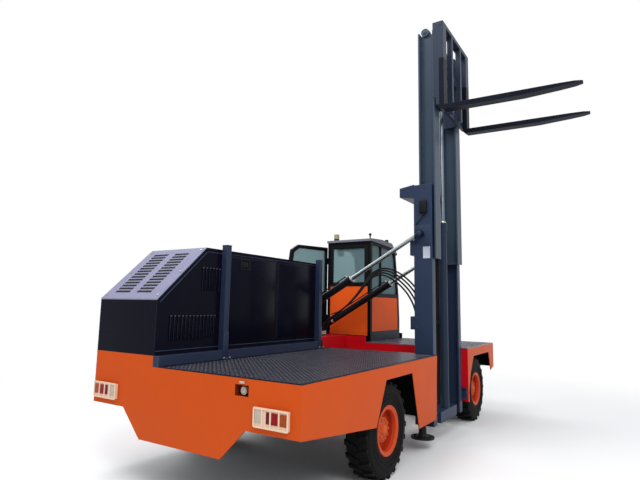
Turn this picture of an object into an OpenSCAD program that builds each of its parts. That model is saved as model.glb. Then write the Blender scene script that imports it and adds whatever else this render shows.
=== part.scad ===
// Side loader forklift: a low truck with an engine house and a cab on its left side, load decks
// on its right, and between the decks a well in which the mast reaches out sideways.
// Lengths are millimetres. X runs forward from the rear end plate, Y to the left of the
// centreline and Z up from the floor; in_frame() then centres the whole truck.

/* [Body] */
// Length of the truck's front part, from the well to the front end plate
front_l = 1348; // [1250:2:1500]
// Width over the side panels
body_w = 2250; // [2200:10:2350]
// Height of the decks' top
deck_z = 990; // [980:5:1010]
// Thickness of the deck plates
deck_t = 10; // [6:1:14]
// Thickness of the side and end panels
sheet = 10; // [6:1:14]
// Height of the side panels' lower edge at the rear end
skirt_z = 625; // [600:5:660]
// Height of the lower edge of the panel legs beside the well
leg_z = 310; // [280:5:340]
// How far the rear end plate hangs below the side panels
end_drop = 230; // [150:10:280]
// Height of the ledge that carries the engine house and the cab
ledge_z = 1070; // [1050:5:1100]

/* [Mast well] */
// Distance from the rear end to the well
well_x = 2622; // [2600:2:2650]
// Width of the well along the truck
well_w = 1180; // [1170:2:1200]

/* [Wheels] */
// Diameter of the tyres
tyre_d = 830; // [810:5:850]
// Width of the tyres
tyre_w = 235; // [215:5:250]
// Diameter of the rims at the tyre bead
rim_d = 384; // [370:2:400]
// Distance from the rear end to the rear axle
rear_axle_x = 1425; // [1380:5:1460]
// Distance from the well to the front axle
front_axle_in = 473; // [465:1:520]
// Distance of the tyres' outer face inside the body's side
wheel_inset = 30; // [25:1:60]
// Distance of the kingpins inside the tyres' outer face
kingpin_in = 170; // [160:2:180]
// Height of the tyres' tread bars
lug_h = 16; // [8:1:22]
// Tread bars on each half of a tyre
lugs = 22; // [16:1:26]
// Diameter of the axle stubs
stub_d = 70; // [60:2:80]

/* [Engine house] */
// Length of the engine house
hood_l = 2480; // [2300:10:2490]
// Distance of the engine house's right wall from the centreline
hood_y = 357; // [340:1:380]
// Height of the engine house's top
hood_z = 2025; // [1950:5:2100]
// Height at which its rear face starts to slope
slope_z = 1538; // [1450:2:1600]
// Length of the slope along the truck
slope_l = 531; // [450:1:600]
// Thickness of the house's sheet metal
hood_t = 6; // [4:1:10]
// Thickness of the slotted panel on the slope
grille_t = 8; // [5:1:12]
// Rows of slots in the slotted panel
slot_rows = 14; // [10:1:15]
// Louvres in the lower group on the side
louvre_count = 13; // [8:1:14]
// Side of the square posts beside the engine house
post_w = 63; // [50:1:80]
// Height of the posts' top
post_z = 2065; // [1950:5:2150]

/* [Cab] */
// Distance from the well to the cab's rear face
cab_back = 148; // [130:1:190]
// Length of the cab
cab_l = 1080; // [1040:5:1120]
// Height of the cab above its ledge
cab_h = 1430; // [1400:5:1500]
// Thickness of the cab's walls
cab_wall = 50; // [44:1:60]
// Height of the side window sill above the ledge
side_sill = 610; // [560:5:660]
// Height of the rear window sill above the ledge
rear_sill = 760; // [700:5:800]
// Thickness of the window panes
glass_t = 6; // [4:1:8]
// Thickness of the door
door_t = 40; // [34:1:44]
// Gap round the door
door_gap = 6; // [5:1:10]
// Angle at which the door stands open
door_open = 170; // [150:1:175]
// Distance of the hinge line outside the cab's side
hinge_out = 14; // [12:1:20]

/* [Mast] */
// Width over the outer mast's two channels
mast_w = 1050; // [1030:2:1056]
// Depth of the outer channels
mast_depth = 220; // [210:2:230]
// Distance of the channels' front face from the centreline
mast_y = 1060; // [1040:2:1070]
// Height of the channels' lower end
mast_foot = 200; // [190:5:230]
// Height of the channels' top
mast_top = 2950; // [2850:10:3050]
// Height of the inner mast's lower end as parked
inner_foot = 2070; // [2050:5:2150]
// Length of the inner mast's rails
inner_l = 2810; // [2750:10:2850]
// How far the mast draws in from where it is parked
reach = 1300; // [1200:10:1310]
// How far the inner mast comes down from where it is parked
lift_down = 1850; // [1800:10:1850]
// Diameter of the lift cylinder
lift_d = 100; // [90:1:110]
// Height of the lift cylinder's head
lift_head_z = 2556; // [2500:2:2600]
// Diameter of the lift rod
lift_rod_d = 58; // [50:1:64]

/* [Forks] */
// Width of the fork carriage
carriage_w = 1064; // [1030:2:1070]
// Height of the carriage's lower bar above the inner mast's foot
carriage_up = 1830; // [1800:5:1840]
// Height over the carriage's two bars
carriage_h = 580; // [540:5:600]
// Height of the backrest's top bar above the lower bar
backrest_h = 1050; // [950:10:1100]
// Length of the fork blades
fork_l = 1445; // [1200:5:1600]
// Width of the forks
fork_w = 120; // [100:1:124]
// Thickness of the forks at the heel
fork_t = 60; // [50:1:64]
// Distance between the forks' middles
fork_gauge = 940; // [600:10:944]

/* [Stays] */
// Diameter of the stay cylinders
stay_d = 90; // [80:1:96]
// Diameter of the stay rods
stay_rod_d = 50; // [40:1:52]
// Length of the stay cylinders from pin to head
stay_l = 1250; // [1220:2:1252]
// Distance of the lower pins from the centreline
stay_low_y = 1050; // [1030:2:1060]
// Height of the lower pins
stay_low_z = 1210; // [1195:1:1230]
// Distance of the upper pins from the centreline
stay_top_y = 930; // [920:2:940]
// Height of the upper pins
stay_top_z = 2360; // [2340:2:2380]

/* [Jack] */
// Diameter of the jack's foot
jack_foot_d = 250; // [200:5:260]
// Height of the jack's foot above the floor
jack_lift = 110; // [80:5:130]
// Diameter of the jack's leg
jack_leg_d = 80; // [60:1:90]

/* [Hidden] */
$fn = 64;

orange = "#cf5a28";
slate = "#2e3a4c";
black = "#17171c";
steel = "#b9bcc2";
rubber = "#1b1b1d";

// Running gaps: seat is between faces that slide or rest, play is round pins.
seat_gap = 0.3;
play = 0.05;

half_w = body_w / 2;
deck_under = deck_z - deck_t;
well_end = well_x + well_w;
body_l = well_end + front_l;
cab_x = well_end + cab_back;
mast_mid = well_x + well_w / 2;
front_axle_x = well_end + front_axle_in;
tyre_r = tyre_d / 2;
wheel_y = half_w - wheel_inset - tyre_w / 2;
kingpin_y = half_w - wheel_inset - kingpin_in;
wall_y = hood_y + hood_t;

// Lamps stand as far out of both end plates, so the truck stays centred on its length.
lamp_out = 30;

// Cab: the door hinges outside the rear pillar.
hinge_x = cab_x + cab_wall;
cab_in_y = wall_y + cab_wall;
door_edge = cab_l - 60 - door_gap - cab_wall;
door_reach = hinge_out + door_edge * sin(door_open) - (hinge_out + door_t) * cos(door_open);

// Mast sections, measured from the mast's middle plane.
web_t = 16;
flange_t = 18;
mast_back = -mast_y + mast_depth;
outer_tip = mast_w / 2 - 100;
inner_web = outer_tip - 9;
inner_out = mast_w / 2 - web_t - 9;
inner_in = inner_web - 86;
inner_front = -mast_y - 40;
inner_back = inner_front + 200;
inner_top = inner_foot + inner_l;
carriage_z = inner_foot + carriage_up;
plate_front = inner_front - 30;
fork_face = plate_front - 40;
fork_tip_y = fork_face - fork_t - fork_l;

// Stays: the pins stand outside the mast's channels.
pad_t = 27;
eye_w = 54;
stay_off = mast_w / 2 + pad_t + seat_gap + eye_w / 2;
stay_run = stay_low_y + stay_top_y;
stay_rise = stay_top_z - stay_low_z;
stay_tilt = 90 - atan2(stay_rise, stay_run);
stay_pins = sqrt(stay_run * stay_run + stay_rise * stay_rise);

// The truck stands with its overall width centred, from the fork tips to the open door.
left_edge = half_w + door_reach;
centre_y = (-fork_tip_y - left_edge) / 2;

// The two long beams under the decks: inner face, width, underside and top.
beam_in = 380;
beam_w = 120;
beam_low = 640;
beam_top = 900;

// Sill that joins the two halves of the truck past the well.
sill_y = 700;
sill_z = 620;
sill_over = 40;

// Rails for the mast's reach, on the two walls of the well.
rail_z = 420;
rail_h = 140;
rail_d = 50;
rail_t = 10;
tilt_y = -740;
tilt_z = 450;

// Wheels: side is +1 on the left and -1 on the right.
WHEEL_NAMES = ["rear_left", "rear_right", "front_left", "front_right"];
WHEEL_X = [rear_axle_x, rear_axle_x, front_axle_x, front_axle_x];
WHEEL_SIDE = [1, -1, 1, -1];

module in_frame() {
    translate([-body_l / 2, centre_y, 0]) children();
}

// A block between two X, two Y and two Z values.
module block(x, y, z) {
    translate([x[0], y[0], z[0]]) cube([x[1] - x[0], y[1] - y[0], z[1] - z[0]]);
}

// A sheet whose outline is given in X and Z, from y0 to y0 + t.
module side_sheet(points, y0, t) {
    translate([0, y0 + t, 0]) rotate([90, 0, 0]) linear_extrude(t) polygon(points);
}

// A sheet whose outline is given in Y and Z, from x0 to x0 + t.
module end_sheet(points, x0, t) {
    translate([x0, 0, 0]) rotate([90, 0, 90]) linear_extrude(t) polygon(points);
}

// A cylinder along X between two X values.
module x_rod(x, y, z, d) {
    translate([x[0], y, z]) rotate([0, 90, 0]) cylinder(d = d, h = x[1] - x[0]);
}

// A cylinder along Y between two Y values.
module y_rod(x, y, z, d) {
    translate([x, y[0], z]) rotate([-90, 0, 0]) cylinder(d = d, h = y[1] - y[0]);
}

// Both sides of something that is drawn on the left.
module both_sides() {
    children();
    mirror([0, 1, 0]) children();
}

// Both sides of the mast's middle plane, for what is drawn at x > 0.
module both_masts() {
    translate([mast_mid, 0, 0]) children();
    translate([mast_mid, 0, 0]) mirror([1, 0, 0]) children();
}

module sill_block() {
    block([well_x - sill_over, well_end + sill_over], [sill_y, half_w - sheet], [sill_z, ledge_z]);
}

module stay_ears() {
    for (x = [-1, 1]) {
        translate([mast_mid + x * stay_off, stay_low_y, stay_low_z]) {
            for (s = [-1, 1]) {
                translate([s * (eye_w / 2 + 8), 0, 0]) {
                    rotate([0, 90, 0]) cylinder(d = 90, h = 14, center = true);
                    translate([-7, -45, ledge_z - stay_low_z - 1]) cube([14, 90, stay_low_z - ledge_z + 1]);
                }
            }
            rotate([0, 90, 0]) cylinder(d = 50, h = eye_w + 20, center = true);
        }
    }
}

module main_frame() {
    beam_y = [beam_in, beam_in + beam_w];
    beam_z = [beam_low, beam_top];
    bearer_t = 80;
    color(black) {
        both_sides() block([sheet, well_x - sheet], beam_y, beam_z);
        both_sides() block([well_end + sheet, body_l - sheet], beam_y, beam_z);
        for (x = [[well_x - 110, well_x - sheet], [well_end + sheet, well_end + 110]]) {
            block(x, [-half_w + sheet, half_w - sheet], [tyre_d + 15, deck_under]);
        }
        for (x = [rear_axle_x - 900, rear_axle_x, front_axle_x + 450]) {
            block([x, x + bearer_t], [-half_w + sheet, hood_y - 40], [beam_top - 20, deck_under]);
            block([x, x + bearer_t], [-half_w + sheet, beam_y[1]], [beam_top - 20, beam_top]);
        }
        sill_block();
        stay_ears();
        hose_unions(HOSE_ROUTE[0], ledge_z);
    }
}

// Hose unions from a face at height z up to the hoses' ends.
module hose_unions(end, z) {
    for (x = HOSE_X) {
        translate([mast_mid + x, end[0], z]) cylinder(d = 28, h = end[1] - z);
    }
}

// Front edge of the front arches: ahead of the steered tyres.
arch_end = max(front_axle_x + tyre_r + 75, body_l - 280);
rear_side = [[0, skirt_z], [rear_axle_x - 307, skirt_z - 124], [rear_axle_x - 115, 867],
    [rear_axle_x + 485, 867], [rear_axle_x + 658, leg_z], [well_x - 45, leg_z]];
front_side = [[well_end, leg_z], [well_end + 52, leg_z], [front_axle_x - 440, 430],
    [front_axle_x - 355, 660], [front_axle_x - 200, 870], [arch_end, 870],
    [min(arch_end + 105, body_l - sheet), skirt_z - 25], [body_l, skirt_z + 15]];

// Outline of an end plate or well wall: low on the deck side, up to the ledge on the left.
function wall_outline(low) = [[-half_w, low], [half_w, low], [half_w, ledge_z], [wall_y, ledge_z],
    [wall_y, deck_under], [-half_w, deck_under]];

module well_wall(x0) {
    difference() {
        intersection() {
            end_sheet(wall_outline(leg_z), x0, sheet);
            block([0, body_l], [-half_w + sheet, half_w - sheet], [0, 3000]);
        }
        sill_block();
    }
}

module rear_body() {
    end_low = skirt_z - end_drop;
    color(orange) {
        side_sheet(concat(rear_side, [[well_x, deck_under], [0, deck_under]]), -half_w, sheet);
        side_sheet(concat(rear_side, [[well_x, ledge_z], [0, ledge_z]]), half_w - sheet, sheet);
        difference() {
            union() {
                end_sheet(wall_outline(skirt_z), 0, sheet);
                end_sheet(
                    [[-650, skirt_z + 1], [-420, end_low], [480, end_low], [710, skirt_z + 1]], 0, sheet);
            }
            reverse_pocket(-1, sheet + 1);
        }
        well_wall(well_x - sheet);
    }
}

module reverse_pocket(x0, x1) {
    block([x0, x1], [-670, -540], [855, 935]);
}

module rear_deck() {
    color(slate) block([0, well_x], [-half_w, hood_y - post_w], [deck_under, deck_z]);
}

module front_body() {
    color(orange) {
        side_sheet(concat(front_side, [[body_l, deck_under], [well_end, deck_under]]), -half_w, sheet);
        side_sheet(concat(front_side, [[body_l, ledge_z], [well_end, ledge_z]]), half_w - sheet, sheet);
        end_sheet(wall_outline(skirt_z + 15), body_l - sheet, sheet);
        well_wall(well_end);
    }
}

module front_deck() {
    color(slate) block([well_end, body_l], [-half_w, wall_y], [deck_under, deck_z]);
}

POST_X = [0.3 * hood_l, hood_l - post_w - 7];

module kerb() {
    y = [hood_y - post_w, hood_y];
    color(slate) {
        block([0, hood_l], [y[0], wall_y], [deck_under, ledge_z]);
        for (x = POST_X) {
            block([x, x + post_w], y, [deck_under, post_z]);
            block([x - 3, x + post_w + 3], [y[0] - 3, y[1]], [post_z, post_z + 6]);
        }
    }
}

slope = atan2(hood_z - slope_z, slope_l);

// The house's side outline, its sheet set in by w and its slope by a further t.
function hood_outline(w, t) = [[w, ledge_z - (w > 0 ? 1 : 0)],
    [w, slope_z + w * tan(slope) - (t + w) / cos(slope)],
    [(hood_z - w - slope_z + (t + w) / cos(slope)) / tan(slope), hood_z - w],
    [hood_l - w, hood_z - w], [hood_l - w, ledge_z - (w > 0 ? 1 : 0)]];

// Louvre groups on the right side: first slot's X, its pitch, count, low Z and high Z.
LOUVRES = [[150, 43, louvre_count, 1185, 1390], [500, 43, 6, 1625, 1830]];

module hood() {
    color(black) difference() {
        side_sheet(hood_outline(0, grille_t), hood_y, half_w - hood_y);
        side_sheet(hood_outline(hood_t, grille_t), hood_y + hood_t, half_w - hood_y - 2 * hood_t);
        for (g = LOUVRES) {
            for (i = [0:g[2] - 1]) {
                block(
                    [g[0] + i * g[1], g[0] + i * g[1] + 16], [hood_y - 1, hood_y + hood_t + 1], [g[3], g[4]]);
            }
        }
        slope_frame() block([60, slope_len() - 60], [hood_y + 60, half_w - 60], [-60, 60]);
    }
}

function slope_len() = slope_l / cos(slope);

// Puts what is drawn along X on the engine house's slope, Z standing out of it.
module slope_frame() {
    translate([0, 0, slope_z]) rotate([0, -slope, 0]) children();
}

// Slot columns: first and last Y.
SLOTS = [[523, 700], [810, 1000]];

module hood_grille() {
    pitch = 41.5;
    first = slope_len() / 2 - pitch * (slot_rows - 1) / 2;
    points = [[0, slope_z - grille_t / cos(slope)], [0, slope_z], [slope_l, hood_z],
        [slope_l + grille_t / sin(slope), hood_z]];
    color("#9a9cb0") difference() {
        side_sheet(points, hood_y, half_w - hood_y);
        slope_frame() {
            for (i = [0:slot_rows - 1]) {
                for (y = SLOTS) {
                    block([first + i * pitch - 7, first + i * pitch + 7], y, [-2 * grille_t, grille_t]);
                }
            }
        }
    }
}

module engine() {
    color("#4a4d52")
        block([0.28 * hood_l, 0.7 * hood_l], [wall_y + 37, half_w - 165], [beam_top, hood_z - 305]);
}

// Points of the cab's side view, X from its rear face and Z from the ledge.
cab_front = cab_l - 30;
cab_brow = cab_l - 150;
cab_outline = [[0, 0], [cab_l, 0], [cab_l, 230], [cab_front, side_sill], [cab_brow, cab_h - 140],
    [cab_l - 330, cab_h - 30], [0, cab_h]];

function door_outline(g) = [[cab_wall + 10 + g, 40 + g], [cab_l - 60 - g, 40 + g], [cab_l - 60 - g, 230],
    [cab_front - 58 - g, side_sill - 10], [cab_brow - 50 - g, cab_h - 165 - g / 2],
    [cab_l - 345 - g / 3, cab_h - 75 - g], [cab_wall + 10 + g, cab_h - 58 - g]];

// Right windows behind and ahead of the bar between them.
window_bar = [350, 385];
rear_pane = [[cab_wall + 10, side_sill + 30], [window_bar[0], side_sill + 30], [window_bar[0], cab_h - 55],
    [cab_wall + 10, cab_h - 55]];
front_pane = [[window_bar[1], side_sill + 30], [cab_front - 60, side_sill + 30],
    [cab_brow - 45, cab_h - 165], [cab_l - 345, cab_h - 70], [window_bar[1], cab_h - 58]];
side_panel = [[cab_wall + 10, 60], [cab_l - 60, 60], [cab_l - 60, 230], [cab_front - 55, side_sill - 30],
    [cab_wall + 10, side_sill - 30]];

module in_cab() {
    translate([cab_x, 0, ledge_z]) children();
}

module cab_frame() {
    inner_y = [cab_in_y, half_w - cab_wall];
    color(black) {
        in_cab() {
            difference() {
                side_sheet(cab_outline, wall_y, cab_wall);
                for (p = [rear_pane, front_pane, side_panel]) {
                    side_sheet(p, wall_y - 1, cab_wall + 2);
                }
            }
            difference() {
                side_sheet(cab_outline, half_w - cab_wall, cab_wall);
                side_sheet(door_outline(0), half_w - cab_wall - 1, cab_wall + 2);
            }
            for (z = [[0, 60], [rear_sill - 20, rear_sill + 20]]) {
                block([0, cab_wall], inner_y, z);
            }
            side_sheet([[0, cab_h - 56], [cab_wall, cab_h - 56],
                [cab_wall, cab_h - 30 * cab_wall / (cab_l - 330)],
                [0, cab_h]], inner_y[0], inner_y[1] - inner_y[0]);
            side_sheet([[cab_brow, cab_h - 140], [cab_brow - 40, cab_h - 140], [cab_l - 340, cab_h - 56],
                [cab_l - 330, cab_h - 30]], inner_y[0], inner_y[1] - inner_y[0]);
            block([cab_l - 60, cab_l], inner_y, [0, 60]);
        }
        block([cab_x, cab_x + cab_l], [wall_y, cab_in_y], [deck_z, ledge_z]);
        for (z = HINGE_Z) {
            translate([hinge_x, half_w + hinge_out, z]) {
                translate([0, 0, -50]) cylinder(d = 24, h = 50 - seat_gap);
                translate([-45, -hinge_out, -50]) cube([45, hinge_out, 50 - seat_gap]);
            }
        }
    }
}

HINGE_Z = [ledge_z + 0.17 * cab_h, ledge_z + 0.8 * cab_h];

module cab_panels() {
    inset = 5;
    color(orange) in_cab() {
        side_sheet(side_panel, wall_y + inset, cab_wall - 2 * inset);
        block([inset, cab_wall - inset], [cab_in_y, half_w - cab_wall], [60, rear_sill - 20]);
        side_sheet([[cab_l - 20, 60], [cab_l, 60], [cab_l, 230], [cab_front, side_sill],
            [cab_front - 20, side_sill], [cab_l - 20, 230]], cab_in_y, half_w - cab_wall - cab_in_y);
        block([cab_wall, cab_l - 60], [cab_in_y, half_w - cab_wall], [0, 12]);
    }
}

roof_outline = [[-30, cab_h], [-15, cab_h + 38], [350, cab_h + 60], [cab_l - 340, cab_h + 42],
    [cab_brow + 25, cab_h - 112], [cab_brow, cab_h - 140], [cab_l - 330, cab_h - 30], [0, cab_h]];

module cab_roof() {
    color("#8b8a93") in_cab() side_sheet(roof_outline, wall_y - 20, half_w - wall_y + 28);
}

module cab_glass() {
    mid = wall_y + cab_wall / 2;
    color("#8fb0b0", 0.5) in_cab() {
        for (p = [rear_pane, front_pane]) {
            side_sheet(p, mid, glass_t);
        }
        block([cab_wall / 2, cab_wall / 2 + glass_t], [cab_in_y, half_w - cab_wall],
            [rear_sill + 20, cab_h - 56]);
        side_sheet([[cab_front - 2, side_sill], [cab_front - 2 - glass_t, side_sill],
            [cab_brow - 2 - glass_t, cab_h - 140], [cab_brow - 2, cab_h - 140]],
            cab_in_y, half_w - cab_wall - cab_in_y);
    }
}

module seat() {
    y = (cab_in_y + half_w - cab_wall) / 2;
    color(black) in_cab() translate([200, y, 12]) {
        translate([60, -170, 0]) cube([340, 340, 300]);
        translate([20, -230, 300]) cube([460, 460, 110]);
        translate([0, -225, 390]) rotate([0, -8, 0]) cube([100, 450, 400]);
    }
}

module steering_wheel() {
    y = (cab_in_y + half_w - cab_wall) / 2;
    color(black) in_cab() translate([900, y, 12]) rotate([0, -22, 0]) {
        intersection() {
            translate([0, 0, -30]) cylinder(d = 70, h = 690);
            rotate([0, 22, 0]) block([-600, 600], [-100, 100], [0, 900]);
        }
        translate([0, 0, 660]) {
            rotate_extrude() translate([175, 0]) circle(d = 28);
            cylinder(d = 90, h = 24);
            for (a = [0, 120, 240]) {
                rotate([0, 0, a]) translate([0, -12, -7]) cube([175, 24, 14]);
            }
        }
    }
}

// Places what is drawn on the closed door at the angle where it stands open.
module door_place() {
    translate([hinge_x, half_w + hinge_out, 0]) rotate([0, 0, door_open])
        translate([-hinge_x, -half_w - hinge_out, 0]) children();
}

door_window = [[cab_wall + 70, side_sill + 30], [cab_front - 130, side_sill + 30],
    [cab_brow - 110, cab_h - 200], [cab_l - 370, cab_h - 130], [cab_wall + 70, cab_h - 120]];

module cab_door() {
    color(black) door_place() {
        in_cab() difference() {
            side_sheet(door_outline(door_gap), half_w - door_t, door_t);
            side_sheet(door_window, half_w - door_t - 1, door_t + 2);
        }
        for (z = HINGE_Z) {
            translate([hinge_x, half_w + hinge_out, z]) {
                cylinder(d = 24, h = 50);
                translate([0, -hinge_out, 0]) cube([60, hinge_out, 50]);
            }
        }
    }
}

module door_glass() {
    color("#8fb0b0", 0.5) door_place() in_cab() side_sheet(door_window, half_w - door_t / 2, glass_t);
}

// Lamp clusters on the end plates: their middle's Y and Z, half width and half height.
CLUSTERS = [[-890, 738, 145, 62], [940, 742, 145, 62]];

module lamp_cluster(c) {
    block([-22, 0], [c[0] - c[2], c[0] + c[2]], [c[1] - c[3], c[1] + c[3]]);
    for (z = [-1, 1]) {
        block([-lamp_out, -22], [c[0] - c[2], c[0] + c[2]], [c[1] + z * c[3] - 6, c[1] + z * c[3] + 6]);
    }
    for (i = [0:4]) {
        y = c[0] - c[2] + i * c[2] / 2;
        block([-lamp_out, -22], [y - 6, y + 6], [c[1] - c[3], c[1] + c[3]]);
    }
}

module lamps() {
    color("#efe6d2") {
        for (c = CLUSTERS) {
            lamp_cluster(c);
            translate([body_l, 0, 0]) mirror([1, 0, 0]) lamp_cluster(c);
        }
        difference() {
            block([sheet, sheet + 70], [-690, -520], [835, 955]);
            block([sheet - 1, sheet + 60], [-670, -540], [855, 935]);
        }
        translate([sheet + 20, -605, 895]) rotate([0, 90, 0]) cylinder(d = 70, h = 40);
        in_cab() difference() {
            union() {
                translate([60, half_w - 120, cab_h + 30]) cylinder(d = 84, h = 110);
                translate([60, wall_y + 40, cab_h + 30]) cylinder(d = 20, h = 80);
                translate([60, wall_y + 40, cab_h + 110]) sphere(d = 44);
                translate([660, wall_y + 40, cab_h + 10]) cylinder(d = 60, h = 85);
            }
            side_sheet(roof_outline, wall_y - 20, half_w - wall_y + 28);
        }
    }
}

module rear_axle() {
    color(black) {
        translate([rear_axle_x, 0, tyre_r]) rotate([-90, 0, 0]) {
            translate([0, 0, -wheel_y + 10]) cylinder(d = 140, h = 2 * wheel_y - 20);
            cylinder(d = 380, h = 170, center = true);
            translate([0, 0, -wheel_y - 60]) cylinder(d = stub_d, h = 2 * wheel_y + 120);
        }
        both_sides()
            block([rear_axle_x - 60, rear_axle_x + 60], [beam_in, beam_in + beam_w], [tyre_r, beam_low]);
    }
}

module front_axle() {
    color(black) difference() {
        union() {
            block([front_axle_x - 55, front_axle_x + 55], [-kingpin_y + 30, kingpin_y - 30],
                [tyre_r - 55, tyre_r + 55]);
            both_sides()
                block(
                    [front_axle_x - 55, front_axle_x + 55], [beam_in, beam_in + beam_w],
                    [tyre_r, beam_low]);
            both_sides()
                translate([front_axle_x, kingpin_y, tyre_r]) cylinder(d = 90, h = 120, center = true);
        }
        both_sides() translate([front_axle_x, kingpin_y, tyre_r])
            cylinder(d = 40 + 2 * play, h = 140, center = true);
    }
}

module knuckle(side) {
    ear = 60 + seat_gap;
    color(black) translate([front_axle_x, side * kingpin_y, tyre_r]) mirror([0, side < 0 ? 1 : 0, 0]) {
        for (s = [0, 1]) {
            mirror([0, 0, s]) translate([0, 0, ear]) cylinder(d = 90, h = 30);
            mirror([0, 0, s]) translate([-30, 0, ear]) cube([60, 75, 30]);
        }
        translate([-30, 50, -ear - 30]) cube([60, 25, 2 * ear + 60]);
        cylinder(d = 40, h = 2 * ear + 20, center = true);
        rotate([-90, 0, 0]) translate([0, 0, 60]) cylinder(d = stub_d, h = wheel_y + 60 - kingpin_y - 60);
    }
}

// Places a wheel: it is drawn about Z, which points out of the truck.
module wheel_place(i) {
    translate([WHEEL_X[i], WHEEL_SIDE[i] * wheel_y, tyre_r])
        rotate([WHEEL_SIDE[i] * -90, 0, 0]) children();
}

module tyre(i) {
    bead = rim_d / 2;
    half = tyre_w / 2;
    crown = tyre_r - lug_h;
    color(rubber) {
        wheel_place(i) rotate_extrude() polygon([
            [bead, -half + 25], [bead + 30, -half + 8], [tyre_r - 90, -half],
            [tyre_r - 45, -half + 4], [crown - 4, -half + 18], [crown, -half + 40], [crown, half - 40],
            [crown - 4, half - 18], [tyre_r - 45, half - 4], [tyre_r - 90, half], [bead + 30, half - 8],
            [bead, half - 25]]);
        wheel_place(i) for (k = [0:lugs - 1], s = [0, 1]) {
            rotate([0, 0, 360 * (k + s / 2) / lugs]) mirror([0, 0, s]) lug();
        }
    }
}

// One tread bar, from the shoulder to past the middle, slanted across the crown.
module lug() {
    half = tyre_w / 2;
    low = tyre_r - lug_h - 6;
    rotate([0, 90, 0]) translate([0, 0, low]) linear_extrude(tyre_r - low) polygon([[-half + 12, -38],
        [-half + 12, 4], [-20, 40], [8, 40], [8, 8]]);
}

module rim(i) {
    bead = rim_d / 2;
    half = tyre_w / 2;
    bore = stub_d / 2 + play;
    color("#e0562e") wheel_place(i) rotate_extrude() polygon([
        [bead - 12, -half + 10], [bead, -half + 10], [bead, half - 25],
        [bead + 26, half - 9], [bead + 22, half - 3], [bead - 12, half - 14], [bead - 12, 36], [90, 46],
        [70, 60], [bore, 60], [bore, 33], [90, 33], [bead - 12, 16]]);
}

// The jack stands in the right rear corner of the well's wall.
jack_x = well_x - 92;
jack_y = -985;

module jack_housing() {
    color(black) difference() {
        block([jack_x - 60, well_x - sheet], [jack_y - 60, jack_y + 60], [440, tyre_d + 15]);
        translate([jack_x, jack_y, 400]) cylinder(d = jack_leg_d + 2 * seat_gap, h = 440);
    }
}

module jack_leg() {
    color(black) translate([jack_x, jack_y, jack_lift]) {
        cylinder(d = jack_foot_d, h = 18);
        cylinder(d1 = jack_leg_d + 50, d2 = jack_leg_d, h = 60);
        cylinder(d = jack_leg_d, h = 720 - jack_lift);
    }
}

module well_rails() {
    outer = well_w / 2;
    color(slate) both_masts() {
        difference() {
            block([outer - rail_d, outer], [-half_w + 20, half_w - 50],
                [rail_z - rail_h / 2, rail_z + rail_h / 2]);
            block([outer - rail_d - 1, outer - rail_t], [-half_w, half_w],
                [rail_z - rail_h / 2 + rail_t, rail_z + rail_h / 2 - rail_t]);
        }
    }
}

ROLLER_Y = [-690, -300];

module reach_carriage() {
    outer = well_w / 2;
    plate_x = [mast_w / 2 - 25, mast_w / 2];
    roller_d = rail_h - 2 * rail_t - 2 * seat_gap;
    color(slate) {
        both_masts() {
            block(plate_x, [-815, -230], [340, 540]);
            for (y = ROLLER_Y) {
                x_rod([outer - rail_d + 4, outer - rail_t - 2], y, rail_z, roller_d);
                x_rod([plate_x[0], outer - rail_t - 2], y, rail_z, 40);
            }
            x_rod([plate_x[0] - 60, plate_x[1]], tilt_y, tilt_z, 60);
        }
        for (y = [[-640, -560], [-320, -240]]) {
            block([mast_mid - plate_x[0], mast_mid + plate_x[0]], y, [420, 540]);
        }
        hose_unions(HOSE_ROUTE[len(HOSE_ROUTE) - 1], 540);
    }
}

// One outer channel, open towards the mast's middle.
module outer_channel() {
    half = mast_w / 2;
    difference() {
        block([outer_tip, half], [-mast_y, mast_back], [mast_foot, mast_top]);
        block([outer_tip - 1, half - web_t], [-mast_y + flange_t, mast_back - flange_t],
            [mast_foot - 1, mast_top + 1]);
    }
}

// Cross beams on the channels' back: low Z, high Z and depth.
CROSS = [[1250, 1400, 50], [2110, 2290, 50]];

// Height of the foot that joins the channels and carries the lift cylinder.
foot_h = 120;

// Pressure pipes up the mast's back: their middles from the mast's middle plane.
PIPE_X = [150, 230, 310, 390];
pipe_d = 28;

module mast_pipes() {
    y = mast_back - pipe_d;
    low = mast_foot + foot_h;
    clamp_h = 40;
    last = len(PIPE_X) - 1;
    color(black) translate([mast_mid, 0, 0]) {
        for (x = PIPE_X) {
            translate([x, y, low]) cylinder(d = pipe_d, h = CROSS[1][1] - 30 - low);
        }
        for (c = CROSS) {
            middle = (c[0] + c[1]) / 2;
            block([PIPE_X[0] - pipe_d, PIPE_X[last] + pipe_d], [y - 4, mast_back],
                [middle - clamp_h / 2, middle + clamp_h / 2]);
        }
    }
}

module outer_mast() {
    half = mast_w / 2;
    color(slate) {
        both_masts() {
            outer_channel();
            translate([half, -stay_top_y, stay_top_z]) rotate([0, 90, 0]) cylinder(d = 80, h = pad_t);
            difference() {
                block([half - 60, half - 30], [mast_back - 1, tilt_y + 55], [tilt_z - 55, tilt_z + 55]);
                x_rod([half - 70, half - 20], tilt_y, tilt_z, 60 + 2 * play);
            }
        }
        translate([mast_mid, 0, 0]) {
            for (c = CROSS) {
                block([-half, half], [mast_back, mast_back + c[2]], [c[0], c[1]]);
            }
            end_sheet([
                [mast_back, mast_top - 160], [mast_back, mast_top + 10], [mast_back + 180, mast_top - 20],
                [mast_back + 180, mast_top - 130]], -half, mast_w);
            block(
                [-half + web_t, half - web_t], [mast_back - 50, mast_back - 5],
                [mast_foot, mast_foot + foot_h]);
            block([40 - inner_in, inner_in - 40], [-mast_y, mast_back - 5], [mast_foot, mast_foot + foot_h]);
            for (x = CHAIN_X) {
                block([x - 25, x + 25], [chain_back, mast_back], [mast_top - 150, mast_top - 90]);
            }
        }
    }
}

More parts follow.
